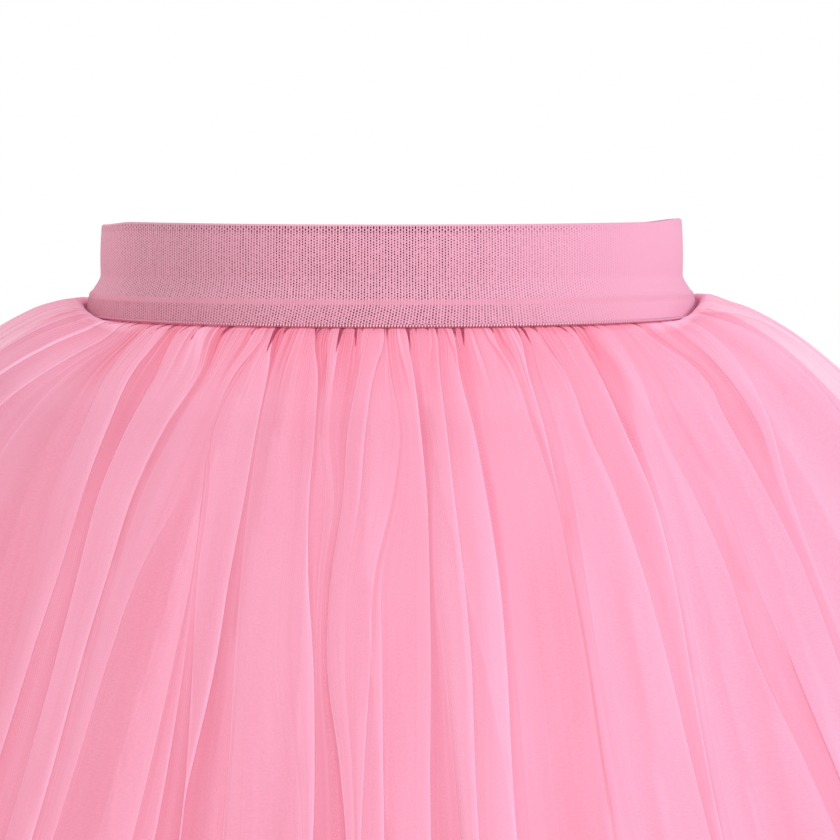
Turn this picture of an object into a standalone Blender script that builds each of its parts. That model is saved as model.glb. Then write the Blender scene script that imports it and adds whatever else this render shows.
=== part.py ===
# A pull-on tulle skirt, filled out as when worn: a knitted elastic waistband and three gathered
# layers of soft tulle below it, the outermost in a front and a back panel. Metres, +Z up, the front
# faces -Y. The origin is the centre of the waist, half way down the waistband.
import math

import bpy
import numpy as np

# waistband: half width and half depth of its outer face, height at the sides and wall
waistHalfWidth = 0.1392
waistHalfDepth = 0.1000
bandHeight = 0.0480
bandWall = 0.0016
topDip = 0.0021                 # the top edge is this much lower at front and back than at the sides
topDipBack = 0.0005             # a little more at the back
topRiseRight = 0.0013           # and stretched up by this at the right side
topFallLeft = 0.0016            # and down by this at the left side
topCorner = 0.88                # cosine round the waist where that starts
topRound = 0.0008               # height over which the top edge is rounded
topInset = 0.0002               # and how far it rounds in
hipsDrop = 0.0265               # from the top down to where the flare starts, all round
ridgeDrop = 0.0342              # from the top down to the stitched ridge, at the sides
ridgeTilt = 0.0022              # lower by this at the front, higher by this at the back
seamDrop = 0.0451               # from the top down to the seam with the tulle, at the sides
seamTilt = 0.0042
sideFlare = 0.0081              # the lower edge stands out by this at the sides
frontFlareShare = 0.40          # and by this share of it at front and back
flarePower = 1.5                # how quickly that falls off round the waist
flareShares = {"hips": 0.03, "aboveRidge": 0.33, "ridge": 0.68, "belowRidge": 0.86, "seam": 1.0}
bandColumns = 72

# tulle: one wall for each gathered layer
clothLength = 0.590             # from the seam down to the hem, along the cloth
wall = 0.0019
seamGap = 0.0003
foldCount = 54                  # large folds round the outer layer, half of them on each panel
columnsPerFold = 5
foldDepth = 0.30                # crest height as a share of the mean fold width
gatherDepth = 0.36              # the same for the small gathers under the band
gatherRise = 0.008              # the small gathers stand at full height this far down
gatherStart = 0.015             # from here they merge into the large folds,
gatherFade = 0.060              # over this length
foldGrowth = 0.120              # the large folds reach their full depth over this length
tuckLength = 0.0020             # the cloth lies flat for this far below the seam
slowRise = 0.65                 # share of a fold over which it climbs, on its long side
steepRise = 0.24                # and on the side where it laps its neighbour
puffRight = 0.0055              # the outer cloth stands up by this beside the band at the right
puffLeft = 0.0030               # and by this at the left
puffCorner = 0.80               # cosine round the waist where that starts
puffRise = 0.007                # full height this far down
puffFade = (0.007, 0.019)       # and gone between these distances
leastLean = 5                   # degrees; folds never rise closer than this to the vertical
frontReach = 0.70               # the cloth falls as at the front up to this outward share
backStand = 0.40                # and stands out by this share of the sides at the back

# steepness of the cloth, degrees below level, down its length in metres
sideProfile = [
    # down    angle
    (0.000, 0), (0.002, 0), (0.004, -50), (0.008, -34), (0.013, -4), (0.018, 14), (0.028, 27),
    (0.042, 33), (0.057, 39), (0.072, 43), (0.090, 46), (0.125, 52), (0.170, 58), (0.230, 62),
    (0.320, 64), (0.590, 65),
]
frontProfile = [
    # down    angle
    (0.000, 20), (0.006, 35), (0.050, 42), (0.090, 52), (0.130, 60), (0.200, 64), (0.590, 65),
]

# The edges between the large folds on the front, from left to right. The first four columns are
# how far right of the centre each edge is, in millimetres, at four distances down the cloth. laps is
# 1 where the fold on the left lies over the one on the right, or -1 the other way, and depth is how
# deep the crease is, as a share.
edgeLevels = [0.0, 0.075, 0.150, 0.235]
firstEdge = 6
frontEdges = [
    # seam  75mm  150mm  235mm  laps  depth
    (-95, -131, -154, -177, -1, 1.00),
    (-78, -110, -130, -150, 1, 1.00),
    (-70, -86, -112, -131, 1, 0.50),
    (-61, -72, -91, -108, 1, 0.80),
    (-52, -62, -73, -85, 1, 0.90),
    (-42, -48, -55, -67, -1, 0.50),
    (-32, -36, -35, -33, 1, 1.00),
    (-16, -21, -26, -20, -1, 0.60),
    (-5, 2, -5, -4, 1, 0.65),
    (6, 14, 16, 18, 1, 0.90),
    (20, 26, 33, 36, 1, 0.80),
    (31, 40, 49, 53, 1, 1.00),
    (54, 72, 80, 90, 1, 0.75),
    (69, 95, 117, 131, 1, 0.80),
    (84, 114, 128, 141, 1, 1.00),
    (112, 134, 158, 186, 1, 0.90),
    (122, 162, 189, 216, 1, 0.80),
]
unevenSpacing = 0.22            # how far the other edges stray, as a share of a fold
strayTurn = 2.4                 # radians from one edge to the next in the waves that set the stray,
strayMixTurn = 4.1              # its unevenness,
lapTurn = 1.7                   # the laps
depthTurn = 3.3                 # and the depths of the other edges
crestTurn = 2.1                 # and the heights of the hidden layers' crests
lapLevel = -0.55                # an edge laps to the right where its wave is above this
hemEvening = 0.45               # how far the folds have spread evenly by the hem
profileStep = 0.001             # the profiles are summed in steps of this length
ringSamples = 721               # points on a ring when lengths are measured round it

# rings of points down each layer, and the hidden layers' own folds and clearances
outerRings = [0.0, 0.002, 0.009, 0.026, 0.060, 0.115, 0.200, 0.350, 0.590]
middleRings = [0.0, 0.002, 0.009, 0.026, 0.115, 0.200, 0.350, 0.580]
innerRings = [0.0, 0.002, 0.009, 0.026, 0.200, 0.350, 0.570]
middleFolds = 27
innerFolds = 20
hiddenColumnsPerFold = 4
clearance = [
    # down, gap to the layer above
    (0.000, 0.0003), (0.002, 0.0006), (0.009, 0.0016), (0.026, 0.0030), (0.115, 0.0050),
    (0.350, 0.0080), (0.590, 0.0100),
]
hiddenDepth = [
    # down, depth of the folds
    (0.000, 0.0000), (0.002, 0.0000), (0.009, 0.0008), (0.026, 0.0025), (0.115, 0.0070),
    (0.590, 0.0160),
]

# finish: colour, roughness
bandFinish = ((0.72, 0.28, 0.42), 0.75)
tulleFinish = ((0.95, 0.36, 0.51), 0.65)


def smoothStep(x):
    # 0 below 0, 1 above 1, and x * x * (3 - 2x) between them
    x = np.clip(x, 0.0, 1.0)
    return x * x * (3.0 - 2.0 * x)


def fromTable(table, x):
    # linear between the rows (place, value)
    places, values = zip(*table)
    return np.interp(x, places, values)


def throughLevels(levels, values, s):
    # smooth curve down the cloth through values[level, item], by Catmull-Rom; s is a 1-D array
    levels = np.asarray(levels)
    slopes = np.gradient(values, levels, axis=0)
    index = np.clip(np.searchsorted(levels, s, side="right") - 1, 0, len(levels) - 2)
    span = (levels[index + 1] - levels[index])[:, None]
    x = (s - levels[index])[:, None] / span
    a, b = values[index], values[index + 1]
    return (a * (1 + 2 * x) * (1 - x) ** 2 + b * x * x * (3 - 2 * x)
            + span * (slopes[index] * x * (1 - x) ** 2 - slopes[index + 1] * x * x * (1 - x)))


def seamHeight(t):
    # the seam's z at t, which goes round the waist with 0 at +X and -pi/2 at the front
    return bandHeight / 2 - seamDrop + seamTilt * np.sin(t)


def flareAt(t):
    # how far the waistband's lower edge stands out, most at the sides
    return sideFlare * (frontFlareShare + (1 - frontFlareShare) * np.abs(np.cos(t)) ** flarePower)


def puffAt(t, s):
    # how far the outer cloth stands up beside the band at both sides
    x = np.cos(t)
    corner = smoothStep((np.abs(x) - puffCorner) / (1 - puffCorner))
    fade = smoothStep((s - puffFade[0]) / (puffFade[1] - puffFade[0]))
    rise = smoothStep((s - tuckLength) / (puffRise - tuckLength))
    return np.where(x > 0, puffRight, puffLeft) * corner * rise * (1 - fade)


def outwardAt(t):
    # unit vector square to the waist ellipse, seen from above
    x, y = np.cos(t) / seamHalfWidth, np.sin(t) / seamHalfDepth
    length = np.hypot(x, y)
    return x / length, y / length


def sideShare(t):
    # 1 where the cloth stands out as at the sides, 0 where it falls as at the front
    x, y = outwardAt(t)
    front = smoothStep((np.abs(x) - frontReach) / (1 - frontReach))
    back = backStand + (1 - backStand) * x * x
    return np.where(y < 0, front, back)


def clothRing(t, s, h):
    # One ring of the draped cloth, s down from the seam. The cloth runs outward square to the
    # waist, its steepness read from the two profiles and summed down its length. h lifts a point
    # off, along a direction square to the cloth that never leans in over the waistband.
    steps = max(1, round(s / profileStep))
    places = (np.arange(steps) + 0.5) * s / steps
    share = sideShare(t)
    side = np.radians(fromTable(sideProfile, places))[:, None]
    front = np.radians(fromTable(frontProfile, places))[:, None]
    angles = front + (side - front) * share
    out = np.cos(angles).sum(axis=0) * s / steps
    drop = np.sin(angles).sum(axis=0) * s / steps
    here = fromTable(sideProfile, s) * share + fromTable(frontProfile, s) * (1 - share)
    lean = np.radians(np.clip(here, leastLean, None))
    outwardX, outwardY = outwardAt(t)
    reach = out + h * np.sin(lean)
    x = seamHalfWidth * np.cos(t) + reach * outwardX
    y = seamHalfDepth * np.sin(t) + reach * outwardY
    z = seamHeight(t) - drop + h * np.cos(lean)
    return np.stack([x, y, z], axis=-1)


def evenPlaces(s, count, start, end):
    # count + 1 values of t from start to end, an equal length of cloth apart along the ring at s
    t = np.linspace(start, end, ringSamples)
    points = clothRing(t, s, 0.0)
    lengths = np.linalg.norm(np.diff(points, axis=0), axis=1)
    along = np.concatenate([[0.0], np.cumsum(lengths)])
    return np.interp(np.linspace(0, along[-1], count + 1), along, t)


def foldEdges():
    # t of every edge between two large folds at each level, with its lap and its depth
    levels = np.array(edgeLevels + [clothLength])
    half = foldCount // 2
    lastEdge = firstEdge + len(frontEdges) - 1
    dense = np.linspace(-math.pi, 0.0, 2 * ringSamples - 1)
    t = np.zeros((len(levels), foldCount + 1))
    for row, s in enumerate(levels):
        if row < len(edgeLevels):
            across = clothRing(dense, s, 0.0)[:, 0]
            placed = np.interp([edge[row] / 1000 for edge in frontEdges], across, dense)
        front = np.zeros(half + 1)
        front[firstEdge:lastEdge + 1] = placed
        front[:firstEdge + 1] = evenPlaces(s, firstEdge, -math.pi, placed[0])
        front[lastEdge:] = evenPlaces(s, half - lastEdge, placed[-1], 0.0)
        t[row, :half + 1] = front
        t[row, half:] = evenPlaces(s, half, 0.0, math.pi)
    t[-1] += hemEvening * (evenAll(clothLength) - t[-1])
    number = np.arange(foldCount + 1)
    stray = unevenSpacing * np.sin(strayTurn * number) * (1 - 0.5 * np.cos(strayMixTurn * number))
    stray[firstEdge - 1:lastEdge + 2] = 0.0
    stray[[0, half, foldCount]] = 0.0
    t += stray * np.gradient(t, axis=1)
    laps = np.where(np.sin(lapTurn * number + 0.6) > lapLevel, 1, -1)
    laps[firstEdge:lastEdge + 1] = [edge[4] for edge in frontEdges]
    depths = 0.75 + 0.25 * np.sin(depthTurn * number)
    depths[firstEdge:lastEdge + 1] = [edge[5] for edge in frontEdges]
    return levels, t, laps, depths


def evenAll(s):
    # all edges an equal length of cloth apart on each half of the ring at s
    half = foldCount // 2
    return np.concatenate([evenPlaces(s, half, -math.pi, 0.0)[:-1], evenPlaces(s, half, 0.0, math.pi)])


def foldHeights(phase, s, edges):
    # t and height of the outer layer on the ring at s, for a phase that counts folds round the hem.
    # Between two edges the cloth climbs and falls by smooth steps, the longer one away from the
    # lap. Two small gathers stand on each fold near the seam.
    levels, places, laps, depths = edges
    t = throughLevels(levels, places, np.array([s]))[0]
    ring = clothRing(t, s, 0.0)
    widths = np.linalg.norm(np.diff(ring, axis=0), axis=1)
    mean = widths.mean()
    narrower = np.minimum(widths, np.roll(widths, 1))
    deep = depths * np.minimum(1.0, np.append(narrower, narrower[0]) / mean)
    fold = np.clip(np.floor(phase).astype(int), 0, foldCount - 1)
    f = phase - fold
    rise = np.where(laps[fold] > 0, slowRise, steepRise)
    fall = np.where(laps[fold + 1] > 0, steepRise, slowRise)
    shape = smoothStep(f / rise) * smoothStep((1 - f) / fall)
    crease = np.where(f < 0.5, deep[fold], deep[fold + 1])
    settled = smoothStep((s - tuckLength) / foldGrowth)
    height = foldDepth * mean * settled * (1 - crease * (1 - shape))
    small = np.sin(2 * math.pi * f) ** 2 * widths[fold] / 2 * gatherDepth
    height = height + small * gatherShare(s)
    return np.interp(phase, np.arange(foldCount + 1), t), height


def gatherShare(s):
    # the small gathers rise just below the seam and merge into the folds further down
    return (smoothStep((s - tuckLength / 2) / gatherRise)
            * (1 - smoothStep((s - gatherStart) / gatherFade)))


def hiddenHeights(phase, s, folds, above):
    # t and height of a hidden layer: its own round folds, hung clear below the layer above it
    depth = fromTable(hiddenDepth, s)
    uneven = 0.8 + 0.2 * np.sin(crestTurn * np.floor(phase))
    crests = np.sin(math.pi * (phase % 1.0)) ** 2 * uneven
    t = -math.pi + phase / folds * 2 * math.pi
    return t, above - depth * (1 - crests)


def below(s, layers):
    # how far below the outer layer's lowest creases a hidden layer's highest crest lies
    step = wall + fromTable(clearance, s)
    return -layers * step - (layers - 1) * fromTable(hiddenDepth, s)


def ringFaces(rows, columns, closed, flip):
    # two triangles for each cell of a grid of points, all cut along the same diagonal
    faces = []
    wrap = columns if closed else columns - 1
    for i in range(rows - 1):
        for j in range(wrap):
            k = (j + 1) % columns
            a, b, c, d = i * columns + j, i * columns + k, (i + 1) * columns + k, (i + 1) * columns + j
            cell = [(a, d, c), (a, c, b)]
            faces += [tri[::-1] for tri in cell] if flip else cell
    return faces


def edgeStrip(upper, lower):
    # triangles that close the wall between two lists of vertex numbers
    faces = []
    for j in range(len(upper) - 1):
        faces += [(upper[j], lower[j], lower[j + 1]), (upper[j], lower[j + 1], upper[j + 1])]
    return faces


def addWall(name, outer, inner, closed, finish):
    # one closed solid between two grids of points of the same size, [row, column, xyz]
    rows, columns = outer.shape[:2]
    count = rows * columns
    number = np.arange(count).reshape(rows, columns)
    faces = ringFaces(rows, columns, closed, False)
    faces += [tuple(v + count for v in tri) for tri in ringFaces(rows, columns, closed, True)]
    around = list(range(columns)) + ([0] if closed else [])
    faces += edgeStrip([number[0, j] + count for j in around], [number[0, j] for j in around])
    faces += edgeStrip([number[-1, j] for j in around], [number[-1, j] + count for j in around])
    if not closed:
        faces += edgeStrip(list(number[:, 0] + count)[::-1], list(number[:, 0])[::-1])
        faces += edgeStrip(list(number[:, -1])[::-1], list(number[:, -1] + count)[::-1])
    points = np.concatenate([outer.reshape(-1, 3), inner.reshape(-1, 3)])
    mesh = bpy.data.meshes.new(name)
    mesh.from_pydata(points.tolist(), [], [tuple(int(v) for v in tri) for tri in faces])
    mesh.validate()
    mesh.materials.append(materialFor(name, finish))
    part = bpy.data.objects.new(name, mesh)
    bpy.context.scene.collection.objects.link(part)
    return part


def materialFor(name, finish):
    colour, roughness = finish
    material = bpy.data.materials.new(name)
    material.use_nodes = True
    shader = material.node_tree.nodes["Principled BSDF"]
    shader.inputs["Base Color"].default_value = (*colour, 1.0)
    shader.inputs["Roughness"].default_value = roughness
    return material


def waistband():
    # a ring with a straight upper part, flared from the hips down to a steeper lower strip
    t = np.linspace(0, 2 * math.pi, bandColumns, endpoint=False)
    dip = (topDip + topDipBack * np.sin(t)) * np.sin(t) ** 2
    corner = smoothStep((np.abs(np.cos(t)) - topCorner) / (1 - topCorner))
    top = bandHeight / 2 - dip + np.where(np.cos(t) > 0, topRiseRight, -topFallLeft) * corner
    hips = np.full(bandColumns, bandHeight / 2 - hipsDrop)
    ridge = bandHeight / 2 - ridgeDrop + ridgeTilt * np.sin(t)
    seam = seamHeight(t) + seamGap
    flare = flareAt(t)
    section = [
        # height, how far it stands out from the waist
        (top, np.full(bandColumns, -topInset)),
        (top - topRound, np.zeros(bandColumns)),
        (hips, flareShares["hips"] * flare),
        ((hips + ridge) / 2, flareShares["aboveRidge"] * flare),
        (ridge, flareShares["ridge"] * flare),
        ((seam + ridge) / 2, flareShares["belowRidge"] * flare),
        (seam, flareShares["seam"] * flare),
    ]
    x, y = np.cos(t) / waistHalfWidth, np.sin(t) / waistHalfDepth
    length = np.hypot(x, y)
    x, y = x / length, y / length
    def grid(inset):
        return np.stack([np.stack([waistHalfWidth * np.cos(t) + (out - inset) * x,
                                   waistHalfDepth * np.sin(t) + (out - inset) * y,
                                   z], axis=-1) for z, out in section])
    return addWall("waistband", grid(0.0), grid(bandWall), True, bandFinish)


def outerPanel(name, first, last, edges):
    # one panel of the outer layer, from one side seam to the other
    columns = (last - first) * columnsPerFold + 1
    outer, inner = [], []
    for s in outerRings:
        trim = 0.5 * seamGap / foldSpacing(s, edges)
        phase = np.linspace(first, last, columns)
        phase[0] += trim[first]
        phase[-1] -= trim[last - 1]
        t, height = foldHeights(phase, s, edges)
        height = height + puffAt(t, s)
        outer.append(clothRing(t, s, height))
        inner.append(clothRing(t, s, height - wall))
    return addWall(name, np.array(outer), np.array(inner), False, tulleFinish)


def foldSpacing(s, edges):
    # width of each large fold on the ring at s
    t = throughLevels(edges[0], edges[1], np.array([s]))[0]
    return np.linalg.norm(np.diff(clothRing(t, s, 0.0), axis=0), axis=1)


def hiddenLayer(name, rings, folds, layers):
    phase = np.arange(folds * hiddenColumnsPerFold) / hiddenColumnsPerFold
    outer, inner = [], []
    for s in rings:
        t, height = hiddenHeights(phase, s, folds, below(s, layers))
        outer.append(clothRing(t, s, height))
        inner.append(clothRing(t, s, height - wall))
    return addWall(name, np.array(outer), np.array(inner), True, tulleFinish)


seamHalfWidth = waistHalfWidth + sideFlare - bandWall / 2
seamHalfDepth = waistHalfDepth + sideFlare * frontFlareShare - bandWall / 2

for old in list(bpy.data.objects):
    bpy.data.objects.remove(old)

foldTable = foldEdges()
waistband()
outerPanel("tulle_outer_front", 0, foldCount // 2, foldTable)
outerPanel("tulle_outer_back", foldCount // 2, foldCount, foldTable)
hiddenLayer("tulle_middle", middleRings, middleFolds, 1)
hiddenLayer("tulle_inner", innerRings, innerFolds, 2)
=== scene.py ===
import math

import bpy
import numpy as np
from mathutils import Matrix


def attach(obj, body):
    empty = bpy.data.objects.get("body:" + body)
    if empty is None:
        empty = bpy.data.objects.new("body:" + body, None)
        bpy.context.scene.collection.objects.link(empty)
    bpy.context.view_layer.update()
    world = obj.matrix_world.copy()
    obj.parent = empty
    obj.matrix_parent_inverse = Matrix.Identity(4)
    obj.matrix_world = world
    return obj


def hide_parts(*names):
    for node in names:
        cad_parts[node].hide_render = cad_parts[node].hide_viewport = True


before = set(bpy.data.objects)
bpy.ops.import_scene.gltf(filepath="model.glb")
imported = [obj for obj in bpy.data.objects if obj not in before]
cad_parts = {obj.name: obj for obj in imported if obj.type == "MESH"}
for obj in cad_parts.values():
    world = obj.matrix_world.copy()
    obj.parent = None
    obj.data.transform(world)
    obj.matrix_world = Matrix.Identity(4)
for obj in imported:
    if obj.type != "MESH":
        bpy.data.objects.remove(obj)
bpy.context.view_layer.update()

# The skirt's measured form, in metres, shared by every piece. The front faces -Y.
waist = {
    "halfWidth": 0.1392, "halfDepth": 0.1000, "bandHeight": 0.0480, "bandWall": 0.0016,
    "topDip": 0.0021, "topDipBack": 0.0005,
    "topRiseRight": 0.0013, "topFallLeft": 0.0016, "topCorner": 0.88,
    "hipsDrop": 0.0265, "ridgeDrop": 0.0342, "ridgeTilt": 0.0022,
    "seamDrop": 0.0451, "seamTilt": 0.0042,
    "sideFlare": 0.0081, "frontFlareShare": 0.40, "flarePower": 1.5,
    "pointsPerTurn": 2880,      # where a length round the waist is measured
}
waist["seamHalfWidth"] = waist["halfWidth"] + waist["sideFlare"] - waist["bandWall"] / 2
waist["seamHalfDepth"] = (waist["halfDepth"] + waist["sideFlare"] * waist["frontFlareShare"]
                          - waist["bandWall"] / 2)

cloth = {
    "length": 0.590,            # seam to hem along the cloth
    # the puff beside the band: its height, where round the waist it starts, where down the cloth it
    # is full and gone, and how far it leans in towards the band
    "puffLeft": 0.0030, "puffRight": 0.0055, "puffCorner": 0.80, "puffFront": 0.52,
    "puffRise": 0.0048, "puffGone": 0.019, "puffInward": 0.0032,
    "sideFrom": 0.70,           # outward x from which the front's fall turns into the sides'
    "backShare": 0.40,          # how far the middle of the back stands out as the sides do
    "leastLean": 5,             # degrees below level
    "smoothFrom": 0.010, "smoothReach": 0.020,      # where the gathers give way to smooth cloth
    "tableStep": 0.001, "tableCount": 33,           # of the tables that the drape is read from
    "rowEvenness": 0.22, "rowPower": 1.8,           # how the rows crowd towards the seam
    "wall": 0.0019,             # the solids' wall, which sets how far apart the layers hang
    "foldCount": 54, "foldDepth": 0.30, "foldGrowth": 0.120, "tuckLength": 0.0020, "hemEvening": 0.45,
}

# steepness of the cloth, degrees below level, down its length in metres
sideProfile = [
    (0.000, 0), (0.002, 0), (0.004, -50), (0.008, -34), (0.013, -4), (0.018, 14), (0.028, 27),
    (0.042, 33), (0.057, 39), (0.072, 43), (0.090, 46), (0.125, 52), (0.170, 58), (0.230, 62),
    (0.320, 64), (0.590, 65),
]
frontProfile = [
    (0.000, 20), (0.006, 35), (0.050, 42), (0.090, 52), (0.130, 60), (0.200, 64), (0.590, 65),
]


def smoothStep(x):
    # 0 below 0, 1 above 1, x * x * (3 - 2x) between
    x = np.clip(x, 0.0, 1.0)
    return x * x * (3.0 - 2.0 * x)


def fromTable(table, x):
    # straight lines between a table's rows of place and value
    places, values = zip(*table)
    return np.interp(x, places, values)


def throughLevels(levels, values, s):
    # Catmull-Rom curve down the cloth through values[level, item]
    levels = np.asarray(levels)
    slopes = np.gradient(values, levels, axis=0)
    index = np.clip(np.searchsorted(levels, s, side="right") - 1, 0, len(levels) - 2)
    span = (levels[index + 1] - levels[index])[:, None]
    x = (s - levels[index])[:, None] / span
    a, b = values[index], values[index + 1]
    return (a * (1 + 2 * x) * (1 - x) ** 2 + b * x * x * (3 - 2 * x)
            + span * (slopes[index] * x * (1 - x) ** 2 - slopes[index + 1] * x * x * (1 - x)))


def seamHeight(t):
    # the seam's z at t, which goes round the waist with 0 at +X and -pi/2 at the front
    return waist["bandHeight"] / 2 - waist["seamDrop"] + waist["seamTilt"] * np.sin(t)


def flareAt(t):
    # how far the band's lower edge stands out, least at front and back
    share = waist["frontFlareShare"]
    return waist["sideFlare"] * (share + (1 - share) * np.abs(np.cos(t)) ** waist["flarePower"])


def outwardAt(t, halfWidth, halfDepth):
    # unit vector square to an ellipse, seen from above
    x, y = np.cos(t) / halfWidth, np.sin(t) / halfDepth
    length = np.hypot(x, y)
    return x / length, y / length


def puffShare(t, s):
    # how far the cloth stands up close beside the band, which it does at both sides and not in front
    corner = smoothStep((np.abs(np.cos(t)) - cloth["puffCorner"]) / (1 - cloth["puffCorner"]))
    corner = corner * smoothStep((np.sin(t) + cloth["puffFront"]) / cloth["puffFront"])
    rise = smoothStep((s - cloth["tuckLength"]) / (cloth["puffRise"] - cloth["tuckLength"]))
    fade = smoothStep((s - cloth["puffRise"]) / (cloth["puffGone"] - cloth["puffRise"]))
    return corner * rise * (1 - fade)


def sideShare(t):
    # 1 where the cloth stands out as at the sides, 0 where it falls as at the front
    x, y = outwardAt(t, waist["seamHalfWidth"], waist["seamHalfDepth"])
    front = smoothStep((np.abs(x) - cloth["sideFrom"]) / (1 - cloth["sideFrom"]))
    back = cloth["backShare"] + (1 - cloth["backShare"]) * x * x
    return np.where(y < 0, front, back)


def drapeTables():
    # how far out and how far down the cloth has gone at each step down it, for even shares between
    # the two profiles: running sums of the cosine and sine of its angle
    step = cloth["tableStep"]
    places = np.arange(0.0, cloth["length"] + step / 2, step)
    middle = places[:-1] + step / 2
    share = np.linspace(0, 1, cloth["tableCount"])[:, None]
    front, side = fromTable(frontProfile, middle), fromTable(sideProfile, middle)
    angle = np.radians(front * (1 - share) + side * share)
    start = np.zeros((cloth["tableCount"], 1))
    out = np.hstack([start, np.cumsum(np.cos(angle), axis=1) * step])
    drop = np.hstack([start, np.cumsum(np.sin(angle), axis=1) * step])
    return places, out, drop


drapePlaces, drapeOut, drapeDrop = drapeTables()


def drape(t, s, h):
    # A point of the draped cloth: out from the seam square to the waist, and down, as the tables
    # say at s, then lifted off by h. s holds one value for each row of t and h.
    last = cloth["tableCount"] - 1
    share = sideShare(t) * last
    low = np.clip(np.floor(share).astype(int), 0, last - 1)
    part = share - low
    row = np.clip(s / cloth["tableStep"], 0, len(drapePlaces) - 1.001)      # just short of the last
    i = np.floor(row).astype(int)[:, None]
    along = row[:, None] - i

    def read(table):
        # between the four nearest entries, by their distances
        upper = table[low, i] * (1 - part) + table[low + 1, i] * part
        lower = table[low, i + 1] * (1 - part) + table[low + 1, i + 1] * part
        return upper * (1 - along) + lower * along

    side, front = fromTable(sideProfile, s)[:, None], fromTable(frontProfile, s)[:, None]
    lean = np.radians(np.clip(front + (side - front) * share / last, cloth["leastLean"], None))
    x, y = outwardAt(t, waist["seamHalfWidth"], waist["seamHalfDepth"])
    reach = read(drapeOut) + h * np.sin(lean)
    return np.stack([
        waist["seamHalfWidth"] * np.cos(t) + reach * x,
        waist["seamHalfDepth"] * np.sin(t) + reach * y,
        seamHeight(t) - read(drapeDrop) + h * np.cos(lean),
    ], axis=-1)


def lieAt(t, s):
    # unit vector square to the drape itself, without its folds, at t[row, column] and s[row]
    side, front = fromTable(sideProfile, s)[:, None], fromTable(frontProfile, s)[:, None]
    lean = np.radians(np.clip(front + (side - front) * sideShare(t), cloth["leastLean"], None))
    x, y = outwardAt(t, waist["seamHalfWidth"], waist["seamHalfDepth"])
    share = smoothStep((s - cloth["smoothFrom"]) / cloth["smoothReach"])[:, None, None]
    return share * np.stack([np.sin(lean) * x, np.sin(lean) * y, np.cos(lean)], axis=-1)


def ringAt(t, s):
    # the smooth drape's points at distance s down the cloth
    return drape(t[None, :], np.array([s]), np.zeros((1, len(t))))[0]


def evenPlaces(s, count, start, end):
    # count + 1 values of t from start to end, an equal length of cloth apart along the ring at s
    t = np.linspace(start, end, waist["pointsPerTurn"] // 4 + 1)
    lengths = np.linalg.norm(np.diff(ringAt(t, s), axis=0), axis=1)
    along = np.concatenate([[0.0], np.cumsum(lengths)])
    return np.interp(np.linspace(0, along[-1], count + 1), along, t)


print("form worked out")


def gridMesh(name, points, closed, uv, attributes, gaps=()):
    # Sheets of quads over points[row, column], wound so that they face outwards, none after the
    # rows in gaps.
    rows, columns = points.shape[:2]
    number = np.arange(rows * columns).reshape(rows, columns)
    wide = uv
    if closed:
        number = np.hstack([number, number[:, :1]])
        last = 2 * uv[:, -1:] - uv[:, -2:-1]
        wide = np.hstack([uv, last])
    kept = np.setdiff1d(np.arange(rows - 1), gaps)
    a, b = number[:-1, :-1], number[:-1, 1:]
    c, d = number[1:, 1:], number[1:, :-1]
    faces = np.stack([a, d, c, b], axis=-1)[kept].reshape(-1, 4)
    corner = np.stack([wide[:-1, :-1], wide[1:, :-1], wide[1:, 1:], wide[:-1, 1:]], axis=2)[kept]
    mesh = bpy.data.meshes.new(name)
    mesh.from_pydata(points.reshape(-1, 3), [], faces.tolist())
    layer = mesh.uv_layers.new(name="cut")
    layer.data.foreach_set("uv", corner.reshape(-1))
    for key, values in attributes.items():
        values = np.asarray(values, dtype=np.float32)
        kind, field = ("FLOAT_VECTOR", "vector") if values.ndim == 3 else ("FLOAT", "value")
        mesh.attributes.new(key, kind, "POINT").data.foreach_set(field, values.reshape(-1))
    mesh.polygons.foreach_set("use_smooth", [True] * len(mesh.polygons))
    piece = bpy.data.objects.new(name, mesh)
    bpy.context.scene.collection.objects.link(piece)
    return piece


def linear(hexColour):
    # sRGB hex to linear red, green, blue and alpha 1
    values = [int(hexColour[i:i + 2], 16) / 255 for i in (1, 3, 5)]
    return tuple(v / 12.92 if v <= 0.04045 else ((v + 0.055) / 1.055) ** 2.4 for v in values) + (1.0,)


def setInputs(node, inputs):
    # each input, in the node's own order or by key, set to a value or linked from another's output
    for key, value in inputs.items() if isinstance(inputs, dict) else enumerate(inputs):
        if isinstance(value, bpy.types.NodeSocket):
            node.id_data.links.new(value, node.inputs[key])
        else:
            node.inputs[key].default_value = value


def addNode(tree, kind, inputs=(), output=0, **settings):
    # one node with its settings and links; gives one of its outputs
    node = tree.nodes.new("ShaderNode" + kind)
    for key, value in settings.items():
        setattr(node, key, value)
    setInputs(node, inputs)
    return node.outputs[output]


def newMaterial(name):
    # a material, its node tree and its shader
    material = bpy.data.materials.new(name)
    material.use_nodes = True
    return material, material.node_tree, material.node_tree.nodes["Principled BSDF"]


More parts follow.
